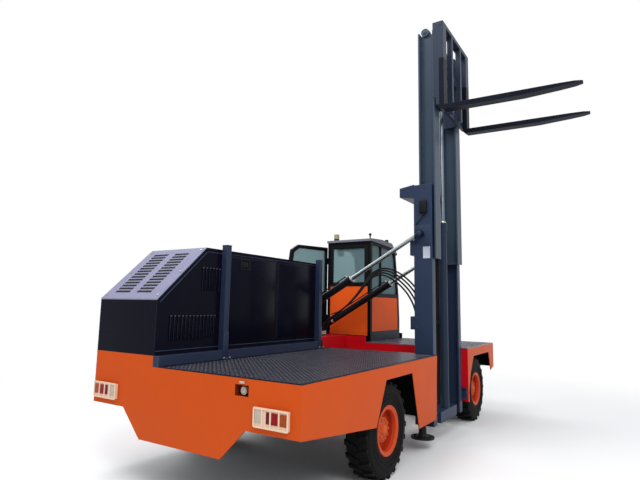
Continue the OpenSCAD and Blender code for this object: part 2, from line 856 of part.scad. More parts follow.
CHAIN_X = [-180, 180];
sheave_d = 130;
sheave_y = (inner_front + inner_back) / 2 - 15;
sheave_z = inner_top - 60;
head_top = inner_top - 150;
chain_t = 20;
chain_w = 34;
chain_front = sheave_y - sheave_d / 2 - seat_gap - chain_t;
chain_back = sheave_y + sheave_d / 2 + seat_gap;

// One inner rail: an I section whose front flange lies ahead of the outer channel.
module inner_rail() {
    z = [inner_foot, inner_top];
    block([inner_web - 16, inner_web], [inner_front, inner_back], z);
    block([inner_in, inner_out], [inner_front, inner_front + flange_t], z);
    block([inner_in, inner_out], [inner_back - flange_t, inner_back], z);
    block([inner_web, inner_out], [-mast_y + flange_t + seat_gap, inner_back - flange_t],
        [inner_foot, inner_foot + 150]);
}

module inner_mast() {
    color(slate) {
        both_masts() {
            inner_rail();
            translate([inner_web - 30, inner_back - 70, inner_top + 30]) {
                rotate([0, 90, 0]) cylinder(d = 110, h = 40, center = true);
                translate([-30, -12, -40]) cube([60, 24, 60]);
            }
        }
        translate([mast_mid, 0, 0]) {
            block([-inner_web, inner_web], [sheave_y - 60, sheave_y + 60], [head_top - 80, head_top]);
            block(
                [-inner_web, inner_web], [inner_back - flange_t, inner_back],
                [inner_foot + 200, inner_foot + 320]);
            for (x = CHAIN_X) {
                translate([x, sheave_y, sheave_z]) rotate([0, 90, 0]) {
                    cylinder(d = sheave_d, h = chain_w, center = true);
                    cylinder(d = 40, h = 80, center = true);
                }
                for (s = [-1, 1]) {
                    translate([x + s * 34 - 5, sheave_y - 30, head_top]) cube([10, 60, 120]);
                }
            }
        }
    }
}

lift_y = -mast_y + 50;

module lift_barrel() {
    z = mast_foot + foot_h;
    color(slate) translate([mast_mid, lift_y, z]) difference() {
        union() {
            cylinder(d = lift_d, h = lift_head_z - z);
            translate([0, 0, lift_head_z - z - 110]) cylinder(d = lift_d + 14, h = 110);
        }
        translate([0, 0, 20]) cylinder(d = lift_rod_d + 2 * seat_gap, h = lift_head_z);
    }
}

module lift_rod() {
    color(steel) translate([mast_mid, lift_y, 0])
        translate([0, 0, mast_foot + 150 + lift_down])
        cylinder(d = lift_rod_d, h = head_top - 80 - mast_foot - 150 - lift_down);
}

module lift_chains() {
    low = carriage_z + carriage_h - 60;
    color(steel) translate([mast_mid, 0, 0]) for (x = CHAIN_X) {
        block([x - chain_w / 2, x + chain_w / 2], [chain_front, chain_front + chain_t], [low, sheave_z]);
        block(
            [x - chain_w / 2, x + chain_w / 2], [chain_back, chain_back + chain_t],
            [mast_top - 90, sheave_z]);
        translate([x, sheave_y, sheave_z]) rotate([0, 90, 0]) difference() {
            cylinder(r = sheave_d / 2 + seat_gap + chain_t, h = chain_w, center = true);
            cylinder(r = sheave_d / 2 + seat_gap, h = chain_w + 2, center = true);
            translate([0, -500, -100]) cube([500, 1000, 200]);
        }
    }
}

BACKREST_BARS = [-0.17, 0.17];

module fork_carriage() {
    half = carriage_w / 2;
    top = carriage_z + carriage_h;
    roller_d = inner_back - inner_front - 2 * flange_t - 2 * seat_gap;
    roller_y = (inner_front + inner_back) / 2;
    side_x = inner_in - 30;
    color(slate) {
        both_masts() {
            block([side_x, side_x + 24], [plate_front, inner_back - 30], [carriage_z, top]);
            for (z = [carriage_z + 90, top - 90]) {
                x_rod([inner_in + 4, inner_web - 20], roller_y, z, roller_d);
                x_rod([side_x, inner_web - 20], roller_y, z, 50);
            }
            block([half - 12, half], [fork_face, inner_front], [carriage_z + 100, carriage_z + backrest_h]);
        }
        translate([mast_mid, 0, 0]) {
            for (z = [carriage_z, top - 100]) {
                block([-half, half], [fork_face, plate_front], [z, z + 100]);
            }
            block(
                [-half, half], [fork_face - fork_t, fork_face + 30],
                [carriage_z + backrest_h - 50, carriage_z + backrest_h]);
            for (f = BACKREST_BARS) {
                x = f * (carriage_w - 50);
                block([x - 25, x + 25], [fork_face - fork_t, fork_face + 1], [carriage_z, carriage_z + backrest_h]);
            }
            for (s = [-1, 1]) {
                x = s * fork_gauge / 2;
                block([x - fork_w / 2, x + fork_w / 2], [fork_face - fork_t, fork_face + 30],
                    [top + seat_gap, carriage_z + backrest_h]);
            }
            for (x = CHAIN_X) {
                block([x - 30, x + 30], [plate_front, chain_front + chain_t], [top - 100, top - 60]);
            }
        }
    }
}

module fork() {
    heel = fork_face - fork_t;
    end_t = 22;
    blade_z = carriage_z - 10;
    droop = 0.026 * fork_l;
    difference() {
        end_sheet([[fork_face, carriage_z + carriage_h], [heel, carriage_z + carriage_h],
            [heel, blade_z], [heel - fork_l, blade_z - droop], [heel - fork_l, blade_z - droop - end_t],
            [heel - fork_l * 0.6, blade_z - 0.6 * droop - fork_t], [heel + 15, blade_z - fork_t],
            [fork_face, blade_z - 25]], -fork_w / 2, fork_w);
        translate([0, heel - fork_l, 0]) for (s = [0, 1]) {
            mirror([s, 0, 0]) linear_extrude(5000) polygon([[fork_w * 0.2, -1], [fork_w, -1], [fork_w, 220],
                [fork_w / 2, 220], [fork_w * 0.42, 70]]);
        }
    }
}

module forks() {
    color(slate) for (s = [-1, 1]) {
        translate([mast_mid + s * fork_gauge / 2, 0, 0]) fork();
    }
}

// Puts what is drawn along Z on a stay's line, from its lower pin; far is -1 or 1.
module stay_place(far) {
    translate([mast_mid + far * stay_off, stay_low_y, stay_low_z]) rotate([stay_tilt, 0, 0]) children();
}

module stay_barrel(far) {
    color(black) stay_place(far) difference() {
        union() {
            rotate([0, 90, 0]) cylinder(d = 100, h = eye_w, center = true);
            cylinder(d = 50, h = 90);
            translate([0, 0, 65]) cylinder(d = stay_d, h = stay_l - 65);
            translate([0, 0, stay_l - 70]) cylinder(d = stay_d + 8, h = 70);
        }
        rotate([0, 90, 0]) cylinder(d = 50 + 2 * play, h = eye_w + 2, center = true);
        translate([0, 0, 90]) cylinder(d = stay_rod_d + 2 * seat_gap, h = stay_l);
    }
}

module stay_rod(far) {
    inside = 150;
    color(steel) stay_place(far) {
        translate([0, 0, stay_l - inside]) cylinder(d = stay_rod_d, h = stay_pins - stay_l + inside - 30);
        translate([0, 0, stay_pins]) rotate([0, 90, 0]) cylinder(d = 84, h = eye_w, center = true);
    }
}

// Hoses from the sill over to the reach carriage: Y and Z of the route they share.
HOSE_ROUTE = [
    [900, ledge_z + 20], [900, 1130], [880, 1200], [820, 1280], [720, 1360], [600, 1440], [480, 1530],
    [370, 1630], [270, 1740], [180, 1850], [90, 1930], [-20, 1970], [-140, 1955], [-260, 1895],
    [-370, 1810], [-470, 1700], [-545, 1570], [-590, 1420], [-605, 1250], [-600, 1080], [-600, 900],
    [-600, 740], [-600, 600], [-600, 570]];
HOSE_X = [230, 262, 294, 326];
// How far each hose lies outside that route where the bundle is widest.
HOSE_SPREAD = [-35, 2, 40, 77];
widest = 15;
hose_d = 24;
hose_sides = 8;

// Ring of a hose's skin at route point i, square to the route there.
function hose_dir(i) = let (a = HOSE_ROUTE[max(i - 1, 0)], b = HOSE_ROUTE[min(i + 1, len(HOSE_ROUTE) - 1)])
    (b - a) / norm(b - a);
function hose_share(i) = i < widest ? pow(sin(90 * i / widest), 2)
    : pow(cos(90 * (i - widest) / (len(HOSE_ROUTE) - 1 - widest)), 2);
function hose_point(n, i) = let (d = hose_dir(i))
    HOSE_ROUTE[i] + HOSE_SPREAD[n] * hose_share(i) * [d[1], -d[0]];
function hose_ring(n, i) = [for (k = [0:hose_sides - 1])
    let (d = hose_dir(i), a = 360 * (k + 0.5) / hose_sides, p = hose_point(n, i),
        u = hose_d / 2 * cos(a), w = hose_d / 2 * sin(a))
    [w, p[0] - d[1] * u, p[1] + d[0] * u]];

module hose(n) {
    rings = len(HOSE_ROUTE);
    points = [for (i = [0:rings - 1]) each hose_ring(n, i)];
    skin = [for (i = [0:rings - 2], k = [0:hose_sides - 1]) let (j = (k + 1) % hose_sides)
        [i * hose_sides + k, i * hose_sides + j, (i + 1) * hose_sides + j, (i + 1) * hose_sides + k]];
    start = [[for (k = [hose_sides - 1:-1:0]) k]];
    end = [[for (k = [0:hose_sides - 1]) (rings - 1) * hose_sides + k]];
    color(rubber) translate([mast_mid + HOSE_X[n], 0, 0]) polyhedron(points, concat(start, skin, end));
}

in_frame() main_frame();
in_frame() rear_body();
in_frame() rear_deck();
in_frame() front_body();
in_frame() front_deck();
in_frame() kerb();
in_frame() hood();
in_frame() hood_grille();
in_frame() engine();
in_frame() cab_frame();
in_frame() cab_panels();
in_frame() cab_roof();
in_frame() cab_glass();
in_frame() seat();
in_frame() steering_wheel();
in_frame() cab_door();
in_frame() door_glass();
in_frame() lamps();
in_frame() rear_axle();
in_frame() front_axle();
in_frame() knuckle(1);  // knuckle_left
in_frame() knuckle(-1);  // knuckle_right
for (i = [0:3]) {
    in_frame() tyre(i);
    in_frame() rim(i);
}
in_frame() jack_housing();
in_frame() jack_leg();
in_frame() well_rails();
in_frame() reach_carriage();
in_frame() outer_mast();
in_frame() inner_mast();
in_frame() mast_pipes();
in_frame() lift_barrel();
in_frame() lift_rod();
in_frame() lift_chains();
in_frame() fork_carriage();
in_frame() forks();
in_frame() stay_barrel(-1);  // stay_barrel_near
in_frame() stay_barrel(1);  // stay_barrel_far
in_frame() stay_rod(-1);  // stay_rod_near
in_frame() stay_rod(1);  // stay_rod_far
for (n = [0:3]) {
    in_frame() hose(n);
}
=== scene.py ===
import math

import bpy
from mathutils import Matrix, Vector


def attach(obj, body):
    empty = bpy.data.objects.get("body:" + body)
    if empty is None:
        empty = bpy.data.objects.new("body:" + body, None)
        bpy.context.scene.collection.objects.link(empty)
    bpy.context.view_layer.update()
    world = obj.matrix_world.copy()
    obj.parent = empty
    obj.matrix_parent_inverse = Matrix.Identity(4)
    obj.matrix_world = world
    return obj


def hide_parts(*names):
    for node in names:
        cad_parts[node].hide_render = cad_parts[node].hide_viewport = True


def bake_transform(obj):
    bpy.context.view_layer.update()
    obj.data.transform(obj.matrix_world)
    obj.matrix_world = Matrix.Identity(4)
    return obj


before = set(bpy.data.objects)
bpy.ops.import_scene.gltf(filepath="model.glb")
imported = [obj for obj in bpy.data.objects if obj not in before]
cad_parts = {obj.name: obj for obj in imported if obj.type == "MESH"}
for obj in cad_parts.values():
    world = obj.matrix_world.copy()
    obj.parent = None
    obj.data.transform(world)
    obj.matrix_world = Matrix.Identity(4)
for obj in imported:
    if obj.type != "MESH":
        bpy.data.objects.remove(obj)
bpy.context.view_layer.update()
scene = bpy.context.scene


# Camera: a moderately wide lens at chest height off the truck's right rear corner, tipped up a
# little so that the raised mast stays in the frame.
truck_middle, centreline = 2.575, 0.657712


def on_truck(x, y, z):
    """A point given from the rear end plate, the centreline and the floor, in metres."""
    return Vector((x - truck_middle, y + centreline, z))


yaw, pitch, roll = math.radians(32.64), math.radians(7.59), math.radians(1.05)
ahead = Vector((math.cos(pitch) * math.cos(yaw), math.cos(pitch) * math.sin(yaw), math.sin(pitch)))
level = Vector((math.sin(yaw), -math.cos(yaw), 0))
above = level.cross(ahead)
camera_right = level * math.cos(roll) + above * math.sin(roll)
camera_up = above * math.cos(roll) - level * math.sin(roll)
camera_data = bpy.data.cameras.new("camera")
camera_data.lens = 27.66
camera_data.sensor_width = 36
camera_data.clip_end = 100
camera = bpy.data.objects.new("camera", camera_data)
scene.collection.objects.link(camera)
camera.matrix_world = Matrix((camera_right, camera_up, -ahead)).transposed().to_4x4()
camera.location = on_truck(-2.752, -3.007, 1.505)
scene.camera = camera
scene.view_settings.view_transform = "Standard"


# Studio: an even white surround, one soft key lamp high on the right rear, a fill from the left and
# one from above the engine house, with a pale floor that melts into the surround.
def add_node(tree, kind, **settings):
    """One shader node: settings by name, sockets by label or as at_0, at_1, set or linked to a node."""
    made = tree.nodes.new("ShaderNode" + kind)
    for key, value in settings.items():
        if key in made.bl_rna.properties:
            setattr(made, key, value)
            continue
        socket = made.inputs[int(key[3:]) if key.startswith("at_") else key.replace("_", " ")]
        if isinstance(value, bpy.types.Node):
            value = value.outputs[0]
        if isinstance(value, bpy.types.NodeSocket):
            tree.links.new(value, socket)
        else:
            socket.default_value = value
    return made


world = bpy.data.worlds.new("surround")
scene.world = world
world.use_nodes = True
sky = world.node_tree
sky.nodes.clear()
rays = add_node(sky, "LightPath").outputs
seen = add_node(sky, "Math", operation="MAXIMUM", at_0=rays["Is Camera Ray"], at_1=rays["Is Glossy Ray"])
seen_too = add_node(sky, "Math", operation="MAXIMUM", at_0=seen, at_1=rays["Is Transmission Ray"])
lighting = add_node(sky, "Background", Color=(0.93, 0.96, 1.0, 1), Strength=0.74)
backdrop = add_node(sky, "Background", Color=(1, 1, 1, 1), Strength=1.0)
either = add_node(sky, "MixShader", at_0=seen_too, at_1=lighting, at_2=backdrop)
add_node(sky, "OutputWorld", Surface=either)

aimed_at = on_truck(2.6, -0.3, 1.2)
for lamp_name, spot, watts, size in [
    ("key_lamp", on_truck(-4.5, -6.5, 8.5), 640, 5.0),
    ("fill_lamp", on_truck(6.5, 7.0, 6.0), 260, 5.0),
    ("top_lamp", on_truck(-0.5, 1.5, 8.0), 260, 4.0),
]:
    lamp_data = bpy.data.lights.new(lamp_name, "AREA")
    lamp_data.energy = watts
    lamp_data.size = size
    lamp = bpy.data.objects.new(lamp_name, lamp_data)
    scene.collection.objects.link(lamp)
    lamp.location = spot
    lamp.rotation_euler = (aimed_at - spot).to_track_quat("-Z", "Y").to_euler()

bpy.ops.object.select_all(action="DESELECT")
bpy.ops.mesh.primitive_circle_add(vertices=96, radius=30, fill_type="NGON", location=(0, 0, -0.002))
floor = bpy.context.object
floor.name = "floor"
floor_paint = bpy.data.materials.new("pale_floor")
floor_paint.use_nodes = True
tree = floor_paint.node_tree
tree.nodes.clear()
floor_place = add_node(tree, "TexCoord").outputs["Object"]
floor_far = add_node(tree, "VectorMath", operation="LENGTH", at_0=floor_place).outputs["Value"]
floor_fade = add_node(tree, "MapRange", interpolation_type="SMOOTHSTEP", Value=floor_far,
                      From_Min=3.2, From_Max=7.5)
floor_matt = add_node(tree, "BsdfDiffuse", Color=(0.86, 0.86, 0.86, 1))
floor_white = add_node(tree, "Emission", Color=(1, 1, 1, 1), Strength=1.0)
floor_mix = add_node(tree, "MixShader", at_0=floor_fade, at_1=floor_matt, at_2=floor_white)
add_node(tree, "OutputMaterial", Surface=floor_mix)
floor.data.materials.append(floor_paint)


# Hoses: a bundle of four black hydraulic hoses, wire braid under rubber, screwed into unions on the
# sill and on the reach carriage; they stand in a stiff arch.
def shaded(tree, share, below, above):
    """Mixes a colour by a share over another colour, or over what a node gives."""
    return add_node(tree, "Mix", data_type="RGBA", Factor=share, A=below, B=(*above, 1)).outputs["Result"]


def finish(name, colour, other, roughness, grain=2.5, bump=0.0, bump_scale=400.0, metallic=0.0, dust=0.0,
           specular=0.2, edge_wear_and_highlight=None, edge=0.004):
    """A shop finish: two close shades in soft clouds, fine bumps, dust low down, and edges lightened in
    broken patches, partly rubbed paint and partly painted highlight.
    """
    made = bpy.data.materials.new(name)
    made.use_nodes = True
    tree = made.node_tree
    shader = tree.nodes["Principled BSDF"]
    shader.inputs["Metallic"].default_value = metallic
    shader.inputs["Specular IOR Level"].default_value = specular
    place = add_node(tree, "TexCoord").outputs["Object"]
    clouds = add_node(tree, "TexNoise", Vector=place, Scale=grain, Detail=6.0, Roughness=0.6).outputs["Fac"]
    tone = shaded(tree, clouds, (*colour, 1), other)
    if dust:
        height = add_node(tree, "SeparateXYZ", at_0=place).outputs["Z"]
        falling = add_node(tree, "MapRange", Value=height, From_Min=1.0, From_Max=0.0, To_Max=dust)
        patchy = add_node(tree, "Math", operation="MULTIPLY", at_0=falling, at_1=clouds)
        tone = shaded(tree, patchy, tone, (0.16, 0.14, 0.12))
    fine = add_node(tree, "TexNoise", Vector=place, Scale=bump_scale, Detail=3.0)
    relief = add_node(tree, "Bump", Height=fine.outputs["Fac"], Strength=bump, Distance=0.002)
    gloss = add_node(tree, "MapRange", Value=clouds, To_Min=roughness - 0.06, To_Max=roughness + 0.10)
    tree.links.new(gloss.outputs[0], shader.inputs["Roughness"])
    tree.links.new(relief.outputs[0], shader.inputs["Normal"])
    # Edges are lightened in broken patches: partly rubbed paint, partly painted highlight along the edges.
    if edge_wear_and_highlight:
        rounded = add_node(tree, "Bevel", samples=4, Radius=edge).outputs[0]
        flat = add_node(tree, "NewGeometry").outputs["Normal"]
        alike = add_node(tree, "VectorMath", operation="DOT_PRODUCT", at_0=rounded, at_1=flat)
        rubbed_and_lit_edges = add_node(tree, "MapRange", Value=alike.outputs["Value"], From_Min=0.995, From_Max=0.80,
                          To_Max=0.9)
        broken_rubbed_and_lit = add_node(tree, "Math", operation="MULTIPLY", at_0=rubbed_and_lit_edges, at_1=clouds)
        tone = shaded(tree, broken_rubbed_and_lit, tone, edge_wear_and_highlight)
        tree.links.new(rounded, relief.inputs["Normal"])
    tree.links.new(tone, shader.inputs["Base Color"])
    return made


def dress(material, *nodes):
    """Gives CAD nodes a finish."""
    for name in nodes:
        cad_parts[name].data.materials.clear()
        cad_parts[name].data.materials.append(material)


def take(*pieces):
    """Selects just these pieces, the first of them active."""
    bpy.ops.object.select_all(action="DESELECT")
    for piece in pieces:
        piece.select_set(True)
    bpy.context.view_layer.objects.active = pieces[0]


def ease(piece, width, segments=2):
    """Rounds every edge of a piece that is sharper than 40 degrees."""
    take(piece)
    rounding = piece.modifiers.new("eased", "BEVEL")
    rounding.width = width
    rounding.segments = segments
    rounding.limit_method = "ANGLE"
    rounding.angle_limit = math.radians(40)
    bpy.ops.object.modifier_apply(modifier="eased")


def bar(name, start, end, radius, sides=24, edge=0.0015, far_radius=None):
    """A turned bar, or with few sides a flat-sided one, between two points, its rims eased."""
    run = end - start
    bpy.ops.object.select_all(action="DESELECT")
    bpy.ops.mesh.primitive_cone_add(
        vertices=sides, radius1=radius, radius2=radius if far_radius is None else far_radius,
        depth=run.length, location=(start + end) / 2, rotation=run.to_track_quat("Z", "Y").to_euler(),
    )
    made = bpy.context.object
    made.name = name
    bpy.ops.object.transform_apply(location=True, rotation=True, scale=True)
    if edge:
        ease(made, edge)
    return made


def gather(name, *pieces):
    """Welds loose pieces into one mesh under a new name."""
    take(*pieces)
    if len(pieces) > 1:
        bpy.ops.object.join()
    pieces[0].name = name
    return pieces[0]


def repeat(piece, places):
    """Copies of a piece, one for each place, every copy with a mesh of its own."""
    made = []
    for place in places:
        twin = piece.copy()
        twin.data = piece.data.copy()
        twin.data.transform(place)
        scene.collection.objects.link(twin)
        made.append(twin)
    return made


def fix_on(piece, body, material, angle=35):
    """Finishes a piece, shades its soft edges and fixes it on a body."""
    take(piece)
    piece.data.materials.clear()
    piece.data.materials.append(material)
    bpy.ops.object.shade_smooth_by_angle(angle=math.radians(angle))
    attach(piece, body)


upwards, rearwards, rightwards = Vector((0, 0, 1)), Vector((-1, 0, 0)), Vector((0, -1, 0))
hose_rubber = finish("hose_rubber", (0.004, 0.004, 0.006), (0.008, 0.008, 0.011), 0.5, grain=30, bump=0.25,
                     bump_scale=900, specular=0.10)
zinc_plate = finish("zinc_plate", (0.42, 0.41, 0.38), (0.54, 0.53, 0.49), 0.32, grain=60, metallic=1.0,
                    specular=0.5)
hose_route = [
    (0.900, 1.090), (0.900, 1.130), (0.880, 1.200), (0.820, 1.280), (0.720, 1.360), (0.600, 1.440),
    (0.480, 1.530), (0.370, 1.630), (0.270, 1.740), (0.180, 1.850), (0.090, 1.930), (-0.020, 1.970),
    (-0.140, 1.955), (-0.260, 1.895), (-0.370, 1.810), (-0.470, 1.700), (-0.545, 1.570), (-0.590, 1.420),
    (-0.605, 1.250), (-0.600, 1.080), (-0.600, 0.900), (-0.600, 0.740), (-0.600, 0.600), (-0.600, 0.570),
]
hose_width = 0.0236
hose_planes = [3.442, 3.474, 3.506, 3.538]
hose_spread = [-0.035, 0.002, 0.040, 0.077]
last, widest = len(hose_route) - 1, 15
sill_unions, carriage_unions = [], []
for number, (plane, spread) in enumerate(zip(hose_planes, hose_spread), 1):
    route = []
    for i, (y, z) in enumerate(hose_route):
        (y0, z0), (y1, z1) = hose_route[max(i - 1, 0)], hose_route[min(i + 1, last)]
        along = Vector((y1 - y0, z1 - z0)).normalized()
        quarter = 90 * i / widest if i < widest else 90 + 90 * (i - widest) / (last - widest)
        share = math.sin(math.radians(quarter)) ** 2
        route.append(on_truck(plane, y + spread * share * along.y, z - spread * share * along.x))
    smooth = [route[0]]
    for i in range(last):
        before, start, end, after = route[max(i - 1, 0)], route[i], route[i + 1], route[min(i + 2, last)]
        for step in (0.25, 0.5, 0.75, 1.0):
            smooth.append(
                0.5 * (2 * start + (end - before) * step
                       + (2 * before - 5 * start + 4 * end - after) * step ** 2
                       + (3 * start - before - 3 * end + after) * step ** 3)
            )
    line = bpy.data.curves.new(f"hose_{number}_line", "CURVE")
    line.dimensions = "3D"
    line.bevel_depth = hose_width / 2
    line.bevel_resolution = 3
    line.use_fill_caps = True
    spline = line.splines.new("POLY")
    spline.points.add(len(smooth) - 1)
    for point, spot in zip(spline.points, smooth):
        point.co = (*spot, 1)
    hose = bpy.data.objects.new(f"pressure_hose_{number}", line)
    scene.collection.objects.link(hose)
    take(hose)
    bpy.ops.object.convert(target="MESH")
    hose.data.materials.append(hose_rubber)
    bpy.ops.object.shade_smooth_by_angle(angle=math.radians(50))
    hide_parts(f"hose_{number}")
    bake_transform(hose)
    for unions, end, nut_low, nut_top, ferrule_top in (
        (sill_unions, smooth[0], -0.008, 0.014, 0.044),
        (carriage_unions, smooth[-1], -0.006, 0.016, 0.038),
    ):
        unions.append(bar("ferrule", end + upwards * nut_top, end + upwards * ferrule_top, 0.0142, sides=16))
        unions.append(bar("union_nut", end + upwards * nut_low, end + upwards * nut_top, 0.0155, sides=6))
fix_on(gather("hose_unions_sill", *sill_unions), "chassis", zinc_plate)
fix_on(gather("hose_unions_carriage", *carriage_unions), "reach_carriage", zinc_plate)


# Frame, axles and jack: box beams and plate welded up and sprayed black, with the axles bolted
# underneath and the screw jack standing in its housing beside the well.
def about(spot, axis, degrees):
    """A turn about an axis through a point."""
    turned = Matrix.Rotation(math.radians(degrees), 4, axis)
    return Matrix.Translation(spot) @ turned @ Matrix.Translation(-spot)


black_enamel = finish("black_enamel", (0.005, 0.005, 0.007), (0.009, 0.009, 0.012), 0.42, bump=0.10,
                      dust=0.18, specular=0.10, edge_wear_and_highlight=(0.05, 0.055, 0.065))
dress(black_enamel, "rear_axle", "front_axle", "knuckle_left", "knuckle_right", "jack_housing", "jack_leg")
foot_bolt = bar("foot_bolt", on_truck(2.615, -0.985, 0.127), on_truck(2.615, -0.985, 0.139), 0.012, sides=6)
jack_spots = [about(on_truck(2.530, -0.985, 0), "Z", turn) for turn in (90, 180, 270)]
jack_bolts = gather("jack_foot_bolts", foot_bolt, *repeat(foot_bolt, jack_spots))
fix_on(jack_bolts, "jack", black_enamel)


# Wheels: lugged rubber tyres on orange disc wheels. Each disc is clamped by ten nuts on the broad hub
# flange, and a stepped cap closes the hub.
def press(piece, way, inset, rise, again=False):
    """Insets the outermost faces that look one way, or those just made, and raises or sinks them."""
    take(piece)
    if not again:
        bpy.ops.object.mode_set(mode="EDIT")
        bpy.ops.mesh.select_mode(type="FACE")
        bpy.ops.mesh.select_all(action="DESELECT")
        bpy.ops.object.mode_set(mode="OBJECT")
        farthest = max(face.center.dot(way) for face in piece.data.polygons)
        for face in piece.data.polygons:
            face.select = face.normal.dot(way) > 0.9 and face.center.dot(way) > farthest - 0.001
    bpy.ops.object.mode_set(mode="EDIT")
    if inset:
        bpy.ops.mesh.inset(thickness=inset, depth=0)
    bpy.ops.mesh.extrude_region_move(TRANSFORM_OT_translate={"value": way * rise})
    bpy.ops.object.mode_set(mode="OBJECT")


def paint_over(material, colour, low, high):
    """Paints what lies inside a box with another colour."""
    tree = material.node_tree
    base = tree.nodes["Principled BSDF"].inputs["Base Color"]
    place = add_node(tree, "TexCoord").outputs["Object"]
    offset = add_node(tree, "VectorMath", operation="SUBTRACT", at_0=place, at_1=(low + high) / 2)
    size = add_node(tree, "VectorMath", operation="ABSOLUTE", at_0=offset)
    part = add_node(tree, "VectorMath", operation="DIVIDE", at_0=size, at_1=(high - low) / 2)
    axes = add_node(tree, "SeparateXYZ", at_0=part).outputs
    two = add_node(tree, "Math", operation="MAXIMUM", at_0=axes["X"], at_1=axes["Y"])
    three = add_node(tree, "Math", operation="MAXIMUM", at_0=two, at_1=axes["Z"])
    inside = add_node(tree, "Math", operation="LESS_THAN", at_0=three, at_1=1.0)
    tree.links.new(shaded(tree, inside, base.links[0].from_socket, colour), base)


tyre_rubber = finish("tyre_rubber", (0.0024, 0.0021, 0.0027), (0.0050, 0.0045, 0.0050), 0.62, grain=12,
                     bump=0.3, dust=0.07, specular=0.05)
rim_enamel = finish("rim_enamel", (0.56, 0.060, 0.014), (0.48, 0.050, 0.011), 0.38, bump=0.06, dust=0.08,
                    specular=0.08, edge_wear_and_highlight=(0.74, 0.20, 0.09))
# The rims are painted a darker red nearer the truck's middle than their outer lip: painted shade over the
# wheel dishes.
paint_over(rim_enamel, (0.36, 0.026, 0.008), on_truck(0, -1.046, 0), on_truck(5.150, 1.046, 0.9))
hub_enamel = finish("hub_enamel", (0.58, 0.088, 0.022), (0.50, 0.074, 0.017), 0.36, grain=14, bump=0.08,
                    dust=0.06, specular=0.10)
rear_axle, wheelbase = 1.425, 2.85
hub = on_truck(rear_axle, -0.9775, 0.415)
flange = bar("flange", hub + rightwards * 0.038, hub + rightwards * 0.058, 0.108, sides=48, edge=0)
press(flange, rightwards, 0.006, 0.003)
ease(flange, 0.003)
nut = bar("nut", hub + Vector((0.083, -0.060, 0)), hub + Vector((0.083, -0.071, 0)), 0.0140, sides=6, edge=0)
press(nut, rightwards, 0.0055, 0.006)
ease(nut, 0.0013)
nuts = gather("nuts", nut, *repeat(nut, [about(hub, "Y", 36 * turn) for turn in range(1, 10)]))
cap = bar("cap", hub + rightwards * 0.060, hub + rightwards * 0.070, 0.052, sides=40, edge=0)
press(cap, rightwards, 0.008, 0.010)
press(cap, rightwards, 0.014, 0.005)
ease(cap, 0.003)
hub_set = gather("hub_set", flange, nuts, cap)
bpy.ops.object.select_all(action="DESELECT")
bpy.ops.mesh.primitive_torus_add(
    major_radius=0.272, minor_radius=0.0045, major_segments=72, minor_segments=8,
    location=hub + rightwards * 0.1130, rotation=(math.radians(90), 0, 0),
)
sidewall = bpy.context.object
bpy.ops.object.transform_apply(location=True, rotation=True, scale=True)
widened = Matrix.Diagonal((1.14, 1.0, 1.14, 1))
rib_place = Matrix.Translation(hub + rightwards * 0.0035) @ widened @ Matrix.Translation(-hub)
sidewall = gather("sidewall", sidewall, *repeat(sidewall, [rib_place]))
turned_round, step_ahead = about(on_truck(rear_axle, 0, 0), "Z", 180), Matrix.Translation((wheelbase, 0, 0))
for corner, place in [
    ("rear_left", turned_round), ("front_right", step_ahead), ("front_left", step_ahead @ turned_round),
    ("rear_right", Matrix.Identity(4)),
]:
    dress(tyre_rubber, f"tyre_{corner}")
    dress(rim_enamel, f"rim_{corner}")
    for shape, piece_name, material, slot in [
        (hub_set, "hub_nuts", hub_enamel, "rim_orange"), (sidewall, "tyre_ribs", tyre_rubber, "tyre_rubber"),
    ]:
        piece = shape if corner == "rear_right" else repeat(shape, [place])[0]
        piece.name = f"{piece_name}_{corner}"
        fix_on(piece, f"wheel_{corner}", material)


# Body shells: pressed plate welded to the frame, outside in orange two-pack enamel, black inside the
# arches, and red on the wall that faces the well from the front.
# The third orange here is the edge colour: partly rubbed paint, partly painted highlight along the edges.
orange, orange_deep, orange_rubbed_and_lit = (0.56, 0.076, 0.010), (0.50, 0.066, 0.008), (0.68, 0.17, 0.05)
arch_black, well_red = (0.006, 0.006, 0.008), (0.52, 0.005, 0.011)
shell_enamel = finish("shell_enamel", orange, orange_deep, 0.30, bump=0.05, dust=0.12, specular=0.035,
                      edge_wear_and_highlight=orange_rubbed_and_lit)
for paint, rear, front, half_width in (
    (arch_black, 0.005, 2.617, 1.120), (arch_black, 3.8075, 5.145, 1.120), (well_red, 3.780, 3.8075, 1.124),
):
    paint_over(shell_enamel, paint, on_truck(rear, -half_width, 0), on_truck(front, half_width, 2))
dress(shell_enamel, "rear_body", "front_body")
frame_enamel = black_enamel.copy()
frame_enamel.name = "frame_enamel"
paint_over(frame_enamel, well_red, on_truck(2.600, 0.400, 0.300), on_truck(3.820, 1.126, 1.0715))
dress(frame_enamel, "main_frame")


# Lamps: a row of four moulded lenses in each corner behind a cream bar guard, a reversing lamp in a
# pocket of the rear plate, a plate lamp over it, and the beacon on the roof.
def slab(name, low, high, edge=0.0015, segments=2):
    """A flat-sided block between two corners, its edges eased."""
    bpy.ops.object.select_all(action="DESELECT")
    bpy.ops.mesh.primitive_cube_add(size=1, location=(low + high) / 2)
    made = bpy.context.object
    made.name = name
    made.scale = high - low
    bpy.ops.object.transform_apply(location=True, rotation=True, scale=True)
    if edge:
        ease(made, edge, segments)
    return made


def lens_plastic(name, colour, ribs=420.0):
    """Moulded lens: clear glossy plastic over prism ribs."""
    made = finish(name, colour, tuple(0.8 * part for part in colour), 0.16, grain=25, specular=0.12)
    tree = made.node_tree
    place = add_node(tree, "TexCoord").outputs["Object"]
    prisms = add_node(tree, "TexWave", Vector=place, Scale=ribs / math.tau, bands_direction="Z",
                      wave_profile="SIN")
    relief = add_node(tree, "Bump", Height=prisms.outputs["Fac"], Strength=0.5, Distance=0.002)
    tree.links.new(relief.outputs[0], tree.nodes["Principled BSDF"].inputs["Normal"])
    return made


